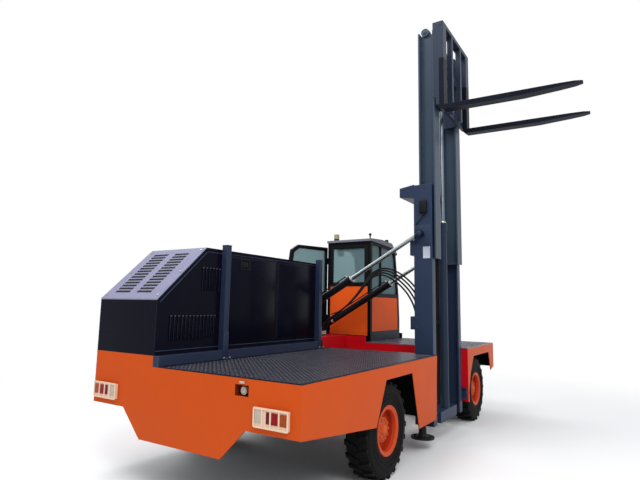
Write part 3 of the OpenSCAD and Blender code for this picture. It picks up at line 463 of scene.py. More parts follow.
lamp_cream = finish("lamp_cream", (0.68, 0.49, 0.35), (0.74, 0.55, 0.40), 0.45, bump=0.1)
# The lamp body in the reversing lamp pocket is painted dark orange-brown: painted shade of the recess.
paint_over(lamp_cream, (0.20, 0.030, 0.010), on_truck(-0.001, -0.71, 0.82), on_truck(0.10, -0.50, 0.97))
paint_over(lamp_cream, (0.010, 0.010, 0.012), on_truck(3.90, 0.30, 2.45), on_truck(4.80, 1.10, 2.70))
dress(lamp_cream, "lamps")
lens_kinds = {
    "white": lens_plastic("lens_white", (0.50, 0.44, 0.36)),
    "amber": lens_plastic("lens_amber", (0.34, 0.060, 0.008)),
    "red": lens_plastic("lens_red", (0.26, 0.003, 0.006)),
    "deep_red": lens_plastic("lens_deep_red", (0.15, 0.004, 0.018)),
}
rows = {
    "rear": ("white", "deep_red", "red", "amber"),
    "front": ("white", "white", "white", "amber"),
}
lens_pitch, lens_middle = 0.0725, -0.97175
lens_low = on_truck(-0.028, -1.0005, 0.703)
lens = slab("lens", lens_low, on_truck(-0.0205, -0.9430, 0.782), edge=0.0035, segments=3)
half_lens = slab("half_lens", lens_low, on_truck(-0.0205, -0.9690, 0.782), edge=0.0035, segments=3)
lenses = {kind: [] for kind in lens_kinds}
for end, row in rows.items():
    for inner, way, rise in [(-0.745, -1, 0.0), (0.795, 1, 0.004)]:
        for cell, kind in enumerate(row):
            middle = inner + way * (lens_pitch / 2 + lens_pitch * cell)
            place = Matrix.Translation((0, middle - lens_middle, rise))
            if end == "front":
                place = about(on_truck(truck_middle, middle, 0), "Z", 180) @ place
            if kind == "deep_red" and way > 0:
                place = place @ Matrix.Translation((0, 0.026, 0))
            lenses[kind] += repeat(half_lens if kind == "deep_red" else lens, [place])
bpy.data.objects.remove(lens)
bpy.data.objects.remove(half_lens)
for kind, pieces in lenses.items():
    fix_on(gather(f"lenses_{kind}", *pieces), "chassis", lens_kinds[kind])
pocket = on_truck(0, -0.605, 0.890)
bezel = bar("reverse_lamp_bezel", pocket - rearwards * 0.032, pocket - rearwards * 0.022, 0.0275, sides=40,
            edge=0)
press(bezel, rearwards, 0.004, -0.004)
ease(bezel, 0.0012)
fix_on(bezel, "chassis", zinc_plate)
reverse_lens = bar("reverse_lamp_lens", pocket - rearwards * 0.030, pocket - rearwards * 0.024, 0.0235,
                   sides=40, edge=0)
press(reverse_lens, rearwards, 0.006, 0.004)
press(reverse_lens, rearwards, 0.008, 0.002)
fix_on(reverse_lens, "chassis", lens_kinds["white"], angle=60)
plate_lamp = slab("plate_lamp", on_truck(-0.016, -0.634, 0.944), on_truck(0.001, -0.592, 0.961), edge=0.004,
                  segments=3)
fix_on(plate_lamp, "chassis", lens_kinds["white"])
beacon = bar("beacon_lens", on_truck(4.010, 1.005, 2.566), on_truck(4.010, 1.005, 2.632), 0.0435, sides=32,
             edge=0)
press(beacon, upwards, 0.010, 0.010)
ease(beacon, 0.006, 3)
fix_on(beacon, "chassis", lens_plastic("lens_beacon", (0.42, 0.36, 0.22), ribs=600.0))


# Decks: chequer plate on the frame, painted dark slate and walked smooth. Slanting raised bars
# cross each other in pairs over the whole sheet.
def line_up(piece, step, count):
    """Arrays a piece in a straight row, one step apart."""
    take(piece)
    row = piece.modifiers.new("row", "ARRAY")
    row.use_relative_offset = False
    row.use_constant_offset = True
    row.constant_offset_displace = step
    row.count = count
    bpy.ops.object.modifier_apply(modifier="row")


def tread(name, low, high, material, pitch=0.046, margin=0.016):
    """Rolled chequer bars over a rectangle, one pair modelled and the rest arrayed."""
    bars = []
    for turn, shift in ((45, 0.0), (-45, 0.5)):
        bpy.ops.object.select_all(action="DESELECT")
        bpy.ops.mesh.primitive_cone_add(vertices=6, radius1=1, radius2=0.7, depth=0.0020,
                                        location=(0, 0, 0.0008))
        raised = bpy.context.object
        raised.scale = (0.0050, 0.0180, 1)
        bpy.ops.object.transform_apply(location=True, rotation=True, scale=True)
        raised.data.transform(
            Matrix.Translation(low + Vector((shift * pitch + margin, shift * pitch + margin, 0)))
            @ Matrix.Rotation(math.radians(turn), 4, "Z")
        )
        bars.append(raised)
    sheet = gather(name, *bars)
    line_up(sheet, (pitch, 0, 0), int((high.x - low.x - 2 * margin) / pitch))
    line_up(sheet, (0, pitch, 0), int((high.y - low.y - 2 * margin) / pitch))
    fix_on(sheet, "chassis", material)


deck_enamel = finish("deck_enamel", (0.0035, 0.0040, 0.0090), (0.006, 0.0065, 0.013), 0.34, grain=5,
                     bump=0.10, specular=0.08, edge_wear_and_highlight=(0.10, 0.11, 0.13))
dress(deck_enamel, "rear_deck")
walked_enamel = finish("walked_enamel", (0.062, 0.058, 0.084), (0.105, 0.098, 0.126), 0.24, grain=5,
                       bump=0.10, specular=0.30, edge_wear_and_highlight=(0.12, 0.13, 0.15))
dress(walked_enamel, "front_deck")
# The raised bars are lighter than the sheet: partly worn bare steel on their tops, partly painted highlight.
worn_and_lit_tread_steel = finish("worn_and_lit_tread_steel", (0.024, 0.024, 0.040), (0.055, 0.054, 0.078), 0.26, grain=9,
                     specular=0.42)
deck_top = 0.990
tread("rear_deck_tread", on_truck(0.012, -1.113, deck_top), on_truck(2.612, 0.284, deck_top), worn_and_lit_tread_steel)
tread("front_deck_tread", on_truck(3.814, -1.113, deck_top), on_truck(5.138, 0.353, deck_top), walked_enamel)


# Kerb and posts: rolled channel and square tube in slate enamel, welded along the deck's inner edge,
# with a doubler and a bolted foot plate at each post.
# The third slate here is the edge colour: partly rubbed paint, partly painted highlight along the edges.
slate, slate_pale, slate_rubbed_and_lit = (0.016, 0.024, 0.053), (0.024, 0.034, 0.068), (0.14, 0.18, 0.24)
kerb_enamel = finish("kerb_enamel", slate, slate_pale, 0.36, bump=0.08, specular=0.14, edge_wear_and_highlight=slate_rubbed_and_lit)
dress(kerb_enamel, "kerb")
feet, foot_bolts = [], []
for post in (0.744, 2.410):
    foot = slab("foot", on_truck(post - 0.022, 0.254, deck_top), on_truck(post + 0.085, 0.296, 1.000),
                edge=0.002)
    sleeve = slab("sleeve", on_truck(post - 0.003, 0.288, 0.992), on_truck(post + 0.066, 0.295, 1.240),
                  edge=0.002)
    feet += [foot, sleeve]
    for x in (post - 0.008, post + 0.071):
        foot_bolts.append(bar("bolt", on_truck(x, 0.272, 0.999), on_truck(x, 0.272, 1.009), 0.0095, sides=6))
fix_on(gather("post_feet", *feet), "chassis", kerb_enamel)
fix_on(gather("post_foot_bolts", *foot_bolts), "chassis", zinc_plate)


# Engine house: folded sheet in near-black gloss enamel over the engine, bolted to the ledge. Each side
# has two lift-off doors, the right one pressed louvres, and a slotted pale panel closes the slope.
hood_enamel = finish("hood_enamel", (0.0028, 0.0028, 0.0082), (0.0044, 0.0045, 0.0115), 0.24, bump=0.03,
                     specular=0.04, edge_wear_and_highlight=(0.10, 0.11, 0.15), edge=0.005)
dress(hood_enamel, "hood")
grille_paint = finish("grille_paint", (0.180, 0.180, 0.282), (0.235, 0.235, 0.335), 0.5, grain=8, bump=0.1,
                      edge_wear_and_highlight=(0.50, 0.50, 0.62))
dress(grille_paint, "hood_grille")
engine_paint = finish("engine_paint", (0.05, 0.055, 0.06), (0.08, 0.08, 0.085), 0.6, bump=0.3)
dress(engine_paint, "engine")
wall, left_wall, louvre_pitch = 0.357, 1.125, 0.043
louvres, glint_tips = [], []
for first, count, low, high in ((0.150, 13, 1.185, 1.390), (0.500, 6, 1.625, 1.830)):
    places = [Matrix.Translation((louvre_pitch * step, 0, 0)) for step in range(1, count)]
    scoop = slab("scoop", on_truck(first - 0.006, wall - 0.010, low - 0.006),
                 on_truck(first + 0.020, wall, high + 0.006), edge=0)
    bpy.ops.object.mode_set(mode="EDIT")
    bpy.ops.mesh.select_all(action="DESELECT")
    bpy.ops.object.mode_set(mode="OBJECT")
    middle = on_truck(first, wall - 0.005, 0)
    for corner in scoop.data.vertices:
        corner.select = corner.co.y < middle.y and corner.co.x > middle.x
    bpy.ops.object.mode_set(mode="EDIT")
    bpy.ops.transform.translate(value=(0, 0.0085, 0))
    bpy.ops.object.mode_set(mode="OBJECT")
    ease(scoop, 0.003, 3)
    louvres += [scoop] + repeat(scoop, places)
    # Each louvre gets a small lighter cap along its top edge: a painted glint.
    tip = slab("tip", on_truck(first - 0.004, wall - 0.011, high - 0.001),
               on_truck(first + 0.008, wall - 0.001, high + 0.008), edge=0)
    press(tip, rightwards, 0.003, 0.001)
    glint_tips += [tip] + repeat(tip, places)
fix_on(gather("hood_louvres", *louvres), "chassis", hood_enamel)
# The caps' colour, lighter than the hood, is painted highlight.
louvre_glint = finish("louvre_glint", (0.05, 0.045, 0.055), (0.11, 0.10, 0.11), 0.4, grain=60, specular=0.3)
fix_on(gather("hood_louvre_glints", *glint_tips), "chassis", louvre_glint)
doors, seams = [], []
for start, end in ((0.832, 1.602), (1.618, 2.396)):
    for y, out in ((wall, rightwards), (left_wall, -rightwards)):
        door = slab("door", on_truck(start, y - 0.004, 1.120), on_truck(end, y + 0.004, 1.990), edge=0)
        press(door, out, 0.022, 0.003)
        ease(door, 0.002)
        doors.append(door)
for x0, z0, x1, z1, radius in (
    (0.030, 1.510, 0.540, 1.978, 0.0042),
    (0.010, 1.105, 2.470, 1.105, 0.0038),
    (0.545, 1.985, 2.400, 2.000, 0.0032),
):
    seam_y = wall - 0.001
    seams.append(bar("seam", on_truck(x0, seam_y, z0), on_truck(x1, seam_y, z1), radius, sides=6, edge=0))
fix_on(gather("hood_doors", *doors), "chassis", hood_enamel)
fix_on(gather("hood_seams", *seams), "chassis", kerb_enamel)
latch = slab("hood_latch", on_truck(1.002, wall - 0.016, 1.847), on_truck(1.147, wall, 1.959), edge=0)
press(latch, rightwards, 0.012, -0.010)
press(latch, rightwards, 0.016, 0.007, again=True)
ease(latch, 0.002)
fix_on(latch, "chassis", black_enamel)
slope_run, slope_rise, slope_foot, slot_pitch = 0.531, 0.487, 1.538, 0.0415
slope = math.atan2(slope_rise, slope_run)
# Black strips with a sunk middle lie over and below each grille slot: painted shade that widens the dark of
# the slots.
slot_shade_strips = []
for start, end in ((0.523, 0.700), (0.810, 1.000)):
    slot_shade_strip = slab("slot_shade_strip", Vector((-0.0110, start - 0.004, -0.001)), Vector((0.0110, end + 0.004, 0.0025)), edge=0)
    press(slot_shade_strip, upwards, 0.0035, -0.0020)
    slot_shade_strips += repeat(slot_shade_strip, [
        Matrix.Translation(on_truck(0, 0, slope_foot)) @ Matrix.Rotation(-slope, 4, "Y")
        @ Matrix.Translation((0.3603 + slot_pitch * (row - 6.5), 0, 0))
        for row in range(14)
    ])
    bpy.data.objects.remove(slot_shade_strip)
fix_on(gather("hood_grille_slot_shade", *slot_shade_strips), "chassis", black_enamel)
grille_bolts = []
off_slope = Vector((-0.676, 0, 0.737))
for along in (0.06, 0.50, 0.94):
    for y in (0.392, 1.085):
        spot = on_truck(slope_run * along, y, slope_foot + slope_rise * along)
        grille_bolts.append(bar("bolt", spot - 0.004 * off_slope, spot + 0.009 * off_slope, 0.010, sides=6))
fix_on(gather("hood_grille_bolts", *grille_bolts), "chassis", zinc_plate)


# Cab: a folded steel frame in black, orange skin panels below the windows, tinted panes in rubber
# strip, and a moulded grey roof cap; the door hangs open on two hinges.
cab_enamel = finish("cab_enamel", (0.0028, 0.0032, 0.0055), (0.0055, 0.006, 0.009), 0.36, bump=0.08,
                    specular=0.05, edge_wear_and_highlight=(0.06, 0.07, 0.08))
paint_over(cab_enamel, (0.78, 0.090, 0.011), on_truck(3.930, 0.414, 1.060), on_truck(3.962, 1.074, 1.140))
paint_over(cab_enamel, (0.030, 0.036, 0.052), on_truck(3.990, 0.350, 0.980), on_truck(5.020, 0.4145, 1.170))
dress(cab_enamel, "cab_frame", "cab_door")
# The skin panels' orange is painted brighter than the body's orange: painted light on panels that lie in
# shade.
lit_panel_enamel = finish("lit_panel_enamel", (0.86, 0.112, 0.016), (0.78, 0.098, 0.013), 0.30, bump=0.05,
                      specular=0.035, edge_wear_and_highlight=orange_rubbed_and_lit)
dress(lit_panel_enamel, "cab_panels")
roof_plastic = finish("roof_plastic", (0.105, 0.105, 0.140), (0.145, 0.145, 0.185), 0.5, bump=0.15,
                      edge_wear_and_highlight=(0.3, 0.31, 0.34))
dress(roof_plastic, "cab_roof")
pane = bpy.data.materials.new("tinted_pane")
pane.use_nodes = True
tint = pane.node_tree
pane_shader = tint.nodes["Principled BSDF"]
pane_shader.inputs["Transmission Weight"].default_value = 0.6
pane_shader.inputs["IOR"].default_value = 1.1
pane_place = add_node(tint, "TexCoord").outputs["Object"]
pane_film = add_node(tint, "TexNoise", Vector=pane_place, Scale=3.0, Detail=4.0).outputs["Fac"]
pane_tone = shaded(tint, pane_film, (0.21, 0.325, 0.345, 1), (0.25, 0.375, 0.395))
pane_gloss = add_node(tint, "MapRange", Value=pane_film, To_Min=0.02, To_Max=0.10)
tint.links.new(pane_tone, pane_shader.inputs["Base Color"])
tint.links.new(pane_gloss.outputs[0], pane_shader.inputs["Roughness"])
dress(pane, "cab_glass", "door_glass")
strip_rubber = finish("strip_rubber", (0.004, 0.004, 0.005), (0.007, 0.007, 0.008), 0.6, grain=20, bump=0.2,
                      specular=0.08)
strips = []
for start, end in ((0.409, 0.470), (1.030, 1.079)):
    strips.append(slab("strip", on_truck(3.949, start, 1.849), on_truck(3.9755, end, 2.446), edge=0.004))
for low, high in ((1.847, 1.872), (2.400, 2.448)):
    strips.append(slab("strip", on_truck(3.9505, 0.409, low), on_truck(3.9755, 1.079, high), edge=0.004))
fix_on(gather("rear_pane_strip", *strips), "chassis", strip_rubber)
fan_hub = on_truck(4.200, 1.060, 2.385)
fan_ring = bar("fan_ring", fan_hub, fan_hub + rightwards * 0.050, 0.076, sides=40, edge=0)
press(fan_ring, rightwards, 0.006, -0.040)
blade = slab("blade", fan_hub + Vector((-0.016, -0.040, 0.010)), fan_hub + Vector((0.016, -0.036, 0.066)),
             edge=0)
blade.data.transform(about(fan_hub + rightwards * 0.038, "Z", 24))
blades = repeat(blade, [about(fan_hub, "Y", 72 * turn) for turn in range(1, 5)])
fan_boss = bar("boss", fan_hub, fan_hub + rightwards * 0.046, 0.017, sides=20)
fix_on(gather("cab_fan", fan_ring, blade, *blades, fan_boss), "chassis", cab_enamel)
wiper_arm = bar("wiper_arm", on_truck(5.030, 0.744, 1.700), on_truck(4.990, 0.640, 2.060), 0.006, sides=10)
wiper_pivot = bar("wiper_pivot", on_truck(5.012, 0.744, 1.690), on_truck(5.046, 0.744, 1.694), 0.018,
                  sides=20)
wiper_blade = bar("wiper_blade", on_truck(4.995, 0.600, 1.900), on_truck(4.972, 0.660, 2.250), 0.007, sides=6)
fix_on(gather("wiper", wiper_arm, wiper_pivot, wiper_blade), "chassis", cab_enamel)


# Seat: a sprung driver's seat on a steel pedestal, foam under black vinyl with sewn channels, its
# pads crowned by the pressure of the foam.
def stuffed(name, low, high, flat_side, swell=0.014, channels=(-0.10, 0.10)):
    """A pad under vinyl: a block blown out by cloth pressure, capped, then sewn in channels."""
    bpy.ops.object.select_all(action="DESELECT")
    middle = (low + high) / 2
    bpy.ops.mesh.primitive_cube_add(size=1, location=middle)
    pad = bpy.context.object
    pad.name = name
    pad.scale = high - low - 2 * Vector((swell, swell, swell))
    bpy.ops.object.transform_apply(location=True, rotation=True, scale=True)
    ease(pad, 0.020, 3)
    remesh = pad.modifiers.new("remesh", "REMESH")
    remesh.mode = "VOXEL"
    remesh.voxel_size = 0.012
    bpy.ops.object.modifier_apply(modifier="remesh")
    cloth = pad.modifiers.new("cloth", "CLOTH")
    cloth.settings.use_pressure = True
    cloth.settings.uniform_pressure_force = 4.0
    cloth.settings.effector_weights.gravity = 0.0
    for step in range(1, 21):
        scene.frame_set(step)
    blown = pad.evaluated_get(bpy.context.evaluated_depsgraph_get())
    moves = [after.co - before.co for after, before in zip(blown.data.vertices, pad.data.vertices)]
    pad.modifiers.remove(cloth)
    scene.frame_set(1)
    for corner, move in zip(pad.data.vertices, moves):
        corner.co += move * min(1.0, swell / max(move.length, 1e-6))
    finer = pad.modifiers.new("finer", "SUBSURF")
    finer.levels = finer.render_levels = 1
    bpy.ops.object.modifier_apply(modifier="finer")
    limit = (high - low).dot(Vector([abs(part) for part in flat_side])) / 2
    for corner in pad.data.vertices:
        away = (corner.co - middle).dot(flat_side)
        if away < 0:
            for channel in channels:
                pull = 0.012 * math.exp(-((corner.co.y - middle.y - channel) / 0.010) ** 2)
                corner.co += flat_side * pull
        corner.co -= flat_side * max(0.0, away - limit + swell)
    return pad


seat_vinyl = finish("seat_vinyl", (0.012, 0.012, 0.014), (0.020, 0.020, 0.023), 0.45, grain=14, bump=0.35,
                    bump_scale=700, specular=0.3)
seat_pan = slab("seat_pedestal", on_truck(4.210, 0.574, 1.082), on_truck(4.550, 0.914, 1.340), edge=0)
press(seat_pan, upwards, -0.030, 0.042)
ease(seat_pan, 0.006)
fix_on(seat_pan, "chassis", black_enamel)
cushion = stuffed("seat_cushion", on_truck(4.170, 0.514, 1.376), on_truck(4.630, 0.974, 1.492), -upwards)
backrest = stuffed("seat_backrest", on_truck(4.150, 0.519, 1.476), on_truck(4.250, 0.969, 1.876), rearwards)
backrest.data.transform(about(on_truck(4.150, 0.744, 1.472), "Y", -8))
for pad in (cushion, backrest):
    fix_on(pad, "chassis", seat_vinyl, angle=60)
for piece in (seat_pan, cushion, backrest):
    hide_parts("seat")


# Controls: a moulded dash below the windscreen carries a cowl and four levers with ball knobs, and
# the steering wheel stands on its column before the seat.
dash_plastic = finish("dash_plastic", (0.010, 0.010, 0.012), (0.017, 0.017, 0.019), 0.55, grain=10, bump=0.3,
                      bump_scale=600)
dress(dash_plastic, "steering_wheel")
dash = slab("dash", on_truck(4.850, 0.430, 1.540), on_truck(4.965, 1.058, 1.660), edge=0)
press(dash, upwards, 0.020, 0.040)
ease(dash, 0.006, 3)
cowl = slab("cowl", on_truck(4.860, 0.640, 1.690), on_truck(4.950, 0.850, 1.750), edge=0)
press(cowl, rearwards, 0.012, -0.010)
ease(cowl, 0.004)
fix_on(gather("dashboard", dash, cowl), "chassis", dash_plastic)
levers = []
for y in (0.470, 0.520, 0.570, 0.620):
    foot, top = on_truck(4.870, y, 1.650), on_truck(4.815, y, 1.775)
    levers.append(bar("lever", foot, top, 0.005, sides=10))
    bpy.ops.object.select_all(action="DESELECT")
    bpy.ops.mesh.primitive_uv_sphere_add(segments=16, ring_count=10, radius=0.015, location=top)
    bpy.ops.object.transform_apply(location=True, rotation=True, scale=True)
    levers.append(bpy.context.object)
fix_on(gather("control_levers", *levers), "chassis", dash_plastic, angle=60)


# Door handle: a lever on a blank lock plate outside and a grab bar inside, screwed to the door's skin;
# they are set out on the closed door and swung open with it.
swung_open = about(on_truck(4.000, 1.139, 0), "Z", 170)
lock_plate = slab("lock_plate", on_truck(4.765, 1.1240, 1.575), on_truck(4.845, 1.1310, 1.665), edge=0)
press(lock_plate, -rightwards, 0.008, 0.003)
ease(lock_plate, 0.0015)
lever_boss = bar("lever_boss", on_truck(4.825, 1.130, 1.620), on_truck(4.825, 1.160, 1.620), 0.013, sides=16)
lever_grip = bar("lever_grip", on_truck(4.838, 1.152, 1.620), on_truck(4.715, 1.152, 1.612), 0.009, sides=12,
                 far_radius=0.0075)
grabs = [
    bar("grab", on_truck(4.720, 1.090, z), on_truck(4.720, 1.052, z), 0.009, sides=12) for z in (1.360, 1.600)
]
grab_bar = bar("grab_bar", on_truck(4.720, 1.055, 1.350), on_truck(4.720, 1.055, 1.610), 0.011, sides=16)
door_set = gather("door_handle", lock_plate, lever_boss, lever_grip, *grabs, grab_bar)
door_set.data.transform(swung_open)
fix_on(door_set, "cab_door", zinc_plate)


# Well rails and reach carriage: rolled channels welded along both walls of the well, and the plate
# carriage whose rollers run in them under the mast, all sprayed in slate enamel.
mast_enamel = finish("mast_enamel", (0.013, 0.023, 0.054), (0.023, 0.036, 0.072), 0.36, bump=0.08,
                     specular=0.15, edge_wear_and_highlight=(0.16, 0.21, 0.28), edge=0.005)
dress(mast_enamel, "well_rails", "reach_carriage")


# Outer mast: two channel sections tied by cross beams at the back, in slate enamel. The near web
# carries a blank plate, a small switch box and the doubler that the stay is pinned to.
dress(mast_enamel, "outer_mast")
dress(black_enamel, "mast_pipes")
mast_mid, web = 3.212, 2.687
doubler = slab("doubler", on_truck(web - 0.003, -1.045, 2.230), on_truck(web + 0.001, -0.842, 2.462), edge=0)
press(doubler, rearwards, 0.012, 0.001)
ease(doubler, 0.0008)
far_doubler = repeat(doubler, [about(on_truck(mast_mid, -0.9435, 0), "Z", 180)])
fix_on(gather("stay_doublers", doubler, *far_doubler), "outer_mast", mast_enamel)
switch_box = slab("switch_box", on_truck(web - 0.040, -1.004, 2.602), on_truck(web + 0.001, -0.919, 2.753),
                  edge=0)
press(switch_box, rearwards, 0.007, 0.006)
ease(switch_box, 0.003)
lead_x = web - 0.020
switch_gland = bar("gland", on_truck(lead_x, -0.962, 2.604), on_truck(lead_x, -0.962, 2.570), 0.012, sides=12)
switch_lead = bar("conduit", on_truck(lead_x, -0.962, 2.574), on_truck(web - 0.014, -0.868, 2.470), 0.006,
                  sides=10)
switch_set = gather("mast_switch_box", switch_box, switch_gland, switch_lead)
fix_on(switch_set, "outer_mast", black_enamel)
plate_paint = finish("plate_paint", (0.36, 0.39, 0.46), (0.44, 0.47, 0.54), 0.45, grain=20, bump=0.1)
blank_plate = slab("blank_plate", on_truck(web - 0.004, -1.036, 2.070), on_truck(web + 0.001, -0.951, 2.206),
                   edge=0)
press(blank_plate, rearwards, 0.004, -0.001)
ease(blank_plate, 0.0008)
fix_on(blank_plate, "outer_mast", plate_paint)
mast_bolts = []
for height in (1.275, 1.375, 2.140, 2.260):
    spot = on_truck(web, -0.862, height)
    mast_bolts.append(bar("bolt", spot - rearwards * 0.002, spot + rearwards * 0.004, 0.013, sides=6))
near_bolts = gather("bolts", *mast_bolts)
far_bolts = repeat(near_bolts, [about(on_truck(mast_mid, -0.862, 0), "Z", 180)])
fix_on(gather("mast_bolts", near_bolts, *far_bolts), "outer_mast", mast_enamel)


# Inner mast and lift cylinder: a telescoping pair of rolled I rails with head rollers, pushed up by a
# single-acting cylinder whose ground rod stands between them.
rail_enamel = finish("rail_enamel", (0.026, 0.043, 0.070), (0.040, 0.060, 0.088), 0.36, bump=0.08,
                     specular=0.15, edge_wear_and_highlight=(0.18, 0.24, 0.30), edge=0.005)
dress(rail_enamel, "inner_mast")
barrel_enamel = finish("barrel_enamel", (0.012, 0.022, 0.040), (0.020, 0.032, 0.052), 0.28, bump=0.05,
                       specular=0.10, edge_wear_and_highlight=(0.15, 0.18, 0.22))
dress(barrel_enamel, "lift_barrel")
rod_chrome = finish("rod_chrome", (0.12, 0.15, 0.185), (0.18, 0.215, 0.26), 0.30, grain=40, metallic=1.0,
                    specular=0.5)
dress(rod_chrome, "lift_rod")
lift_y = -1.010
port = bar("port", on_truck(3.255, lift_y, 2.500), on_truck(3.300, lift_y, 2.500), 0.014, sides=6)
port_elbow = bar("elbow", on_truck(3.290, lift_y, 2.508), on_truck(3.290, lift_y, 2.410), 0.009, sides=12)
fix_on(gather("lift_port", port, port_elbow), "outer_mast", zinc_plate)
gland_nut = bar("gland_nut", on_truck(mast_mid, lift_y, 2.552), on_truck(mast_mid, lift_y, 2.574), 0.047,
                sides=12, edge=0)
press(gland_nut, upwards, 0.013, 0.006)
ease(gland_nut, 0.0015)
fix_on(gland_nut, "outer_mast", zinc_plate)
roller_pins = []
for side in (-1, 1):
    for step in (-1, 1):
        spot, outside = on_truck(mast_mid + side * 0.420 + step * 0.019, -0.970, 4.910), Vector((step, 0, 0))
        disc = bar("disc", spot, spot + outside * 0.006, 0.050, sides=40, edge=0)
        press(disc, outside, 0.010, -0.002)
        boss = bar("pin", spot, spot + outside * 0.014, 0.022, sides=16, edge=0)
        press(boss, outside, 0.006, 0.004)
        ease(boss, 0.001)
        roller_pins += [disc, boss]
fix_on(gather("head_roller_discs", *roller_pins), "inner_mast", rail_enamel)


# Lift chains: two leaf chains of pressed plates on pins, anchored on the outer mast, over the head
# sheaves and down to the fork carriage.
chain_steel = finish("chain_steel", (0.10, 0.10, 0.11), (0.17, 0.17, 0.18), 0.4, grain=60, metallic=1.0,
                     specular=0.5)
chain_pitch, chain_out, sheave_radius = 0.0254, Vector((0.180, 0, 0)), 0.0753


def chain_link(plates):
    """One pitch of leaf chain standing upright: side plates and the pin at its upper end."""
    made = []
    for x in plates:
        bpy.ops.object.select_all(action="DESELECT")
        bpy.ops.mesh.primitive_cylinder_add(
            vertices=8, radius=0.0105, depth=0.0050, location=(x, 0, 0), rotation=(0, math.radians(90), 0),
        )
        plate = bpy.context.object
        bpy.ops.object.transform_apply(location=True, rotation=True, scale=True)
        plate.data.transform(Matrix.Rotation(math.radians(22.5), 4, "X"))
        for corner in plate.data.vertices:
            corner.co.z += math.copysign(chain_pitch / 2 - 0.0005, corner.co.z)
        made.append(plate)
    pin_z = chain_pitch / 2
    made.append(bar("pin", Vector((-0.0175, 0, pin_z)), Vector((0.0175, 0, pin_z)), 0.0042, sides=6, edge=0))
    return gather("link", *made)


wide_link = chain_link((-0.0135, 0.0, 0.0135))
narrow_link = chain_link((-0.00675, 0.00675))


def chain_run(name, start, end):
    """A straight run of both chains between two points, its pairs of links arrayed."""
    low, high = sorted((start, end), key=lambda spot: spot.z)
    pair = gather("pair", *repeat(wide_link, [Matrix.Translation((0, 0, chain_pitch / 2))]),
                  *repeat(narrow_link, [Matrix.Translation((0, 0, 1.5 * chain_pitch))]))
    count = max(1, round((high.z - low.z) / (2 * chain_pitch)))
    line_up(pair, (0, 0, (high.z - low.z) / count), count)
    runs = repeat(pair, [Matrix.Translation(low + side * chain_out) for side in (-1, 1)])
    bpy.data.objects.remove(pair)
    run = gather(name, *runs)
    run.data.materials.append(chain_steel)
    bpy.ops.object.shade_smooth_by_angle(angle=math.radians(30))
    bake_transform(run)
    return run


sheave = on_truck(mast_mid, -1.015, 4.820)
front_fall, rear_fall = sheave + rightwards * sheave_radius, sheave - rightwards * sheave_radius
front_run = chain_run("chain_front", front_fall, front_fall - upwards * 0.400)
rear_run = chain_run("chain_rear", rear_fall - upwards * 1.960, rear_fall)
over = []
for side in (-1, 1):
    for step in range(9):
        turn = Matrix.Rotation(math.radians(10 + 20 * step), 4, "X")
        lift = Matrix.Translation(sheave + side * chain_out)
        place = lift @ turn @ Matrix.Translation((0, sheave_radius, 0))
        over += repeat((wide_link, narrow_link)[step % 2], [place])
bpy.data.objects.remove(wide_link)
bpy.data.objects.remove(narrow_link)
over_sheaves = gather("chain_over_sheaves", *over)
fix_on(over_sheaves, "inner_mast", chain_steel, angle=30)
for piece in (front_run, rear_run, over_sheaves):
    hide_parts("lift_chains")
anchors = []
for side in (-1, 1):
    foot = rear_fall - upwards * 2.045 + side * chain_out
    anchors.append(bar("stud", foot, foot + upwards * 0.082, 0.009, sides=12))
    anchors.append(bar("nut", foot + upwards * 0.004, foot + upwards * 0.022, 0.017, sides=6))
fix_on(gather("chain_anchors", *anchors), "outer_mast", zinc_plate)


# Fork carriage and forks: two heavy bars and a welded backrest in slate enamel, with forged steel
# forks hooked over the bars and held by latch pins.
carriage_enamel = finish("carriage_enamel", (0.013, 0.020, 0.038), (0.022, 0.031, 0.054), 0.36, bump=0.08,
                         specular=0.12, edge_wear_and_highlight=(0.16, 0.20, 0.26), edge=0.005)
dress(carriage_enamel, "fork_carriage")
fork_steel = finish("fork_steel", (0.003, 0.0044, 0.0095), (0.0056, 0.0078, 0.015), 0.40, grain=6, bump=0.12,
                    specular=0.06, edge_wear_and_highlight=(0.10, 0.11, 0.14))
dress(fork_steel, "forks")
latches = []
for side in (-1, 1):
    spot = on_truck(mast_mid + side * 0.385, -1.150, 4.478)
    latch_pin = bar("latch_pin", spot, spot + upwards * 0.040, 0.012, sides=16, edge=0)
    press(latch_pin, upwards, -0.007, 0.010)
    ease(latch_pin, 0.002)
    latches.append(latch_pin)
fix_on(gather("fork_latches", *latches), "fork_carriage", zinc_plate)


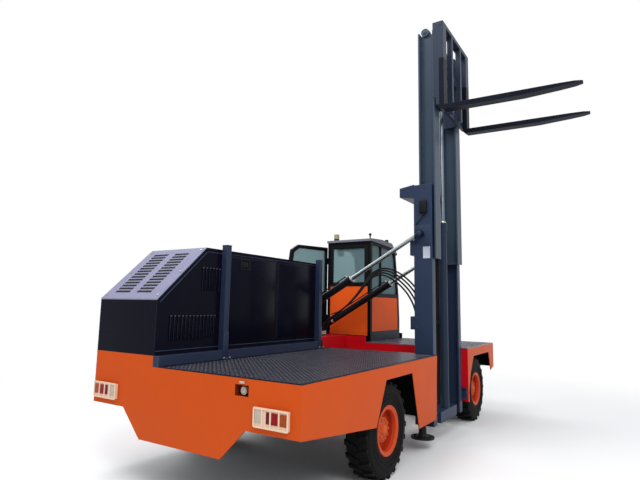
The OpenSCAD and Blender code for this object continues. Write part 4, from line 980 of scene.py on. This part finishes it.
# Stays: a double-acting cylinder on each side between the ledge and the mast, with a black barrel, a
# ground rod, a gland nut and a steel pipe that feeds the rod end.
low_pin, high_pin, stay_out = Vector((0, 1.050, 1.210)), Vector((0, -0.930, 2.360)), 0.5793
way = (high_pin - low_pin).normalized()
square = Vector((0, way.z, -way.y))


def on_stay(x, along, off=0.0):
    """A point on a stay, measured from its lower pin and off its upper side."""
    return on_truck(x, low_pin.y, low_pin.z) + way * along + square * off


dress(black_enamel, "stay_barrel_near", "stay_barrel_far")
stay_chrome = finish("stay_chrome", (0.30, 0.34, 0.35), (0.40, 0.44, 0.45), 0.24, grain=40, metallic=1.0,
                     specular=0.5)
dress(stay_chrome, "stay_rod_near", "stay_rod_far")
paint_over(stay_chrome, (0.016, 0.024, 0.050), on_truck(2.5, -1.02, 2.29), on_truck(3.9, -0.872, 2.45))
pipe_runs = [
    ((0.300, 0.068), (1.212, 0.068)), ((0.306, 0.068), (0.180, 0.092)), ((0.184, 0.091), (0.060, 0.060)),
]
for reach, x, out in (("near", mast_mid - stay_out, rearwards), ("far", mast_mid + stay_out, -rearwards)):
    gland = bar("gland", on_stay(x, 1.238), on_stay(x, 1.262), 0.044, sides=12, edge=0)
    press(gland, way, 0.016, 0.006)
    ease(gland, 0.0015)
    band = bar("band", on_stay(x, 0.140), on_stay(x, 0.172), 0.0495, sides=32)
    unions = [
        bar("union", on_stay(x, along, 0.040), on_stay(x, along, 0.074), 0.013, sides=6)
        for along in (0.156, 1.205)
    ]
    barrel = f"stay_barrel_{reach}"
    fix_on(gather(f"stay_fittings_{reach}", gland, band, *unions), barrel, zinc_plate)
    pipe = [bar("pipe", on_stay(x, *start), on_stay(x, *end), 0.0075, sides=12) for start, end in pipe_runs]
    fix_on(gather(f"stay_pipe_{reach}", *pipe), barrel, black_enamel)
    eye = on_truck(x, high_pin.y, high_pin.z)
    pin_head = bar(f"stay_pin_{reach}", eye + out * 0.026, eye + out * 0.038, 0.030, sides=24, edge=0)
    press(pin_head, out, 0.010, 0.008)
    ease(pin_head, 0.002)
    fix_on(pin_head, f"stay_rod_{reach}", mast_enamel)
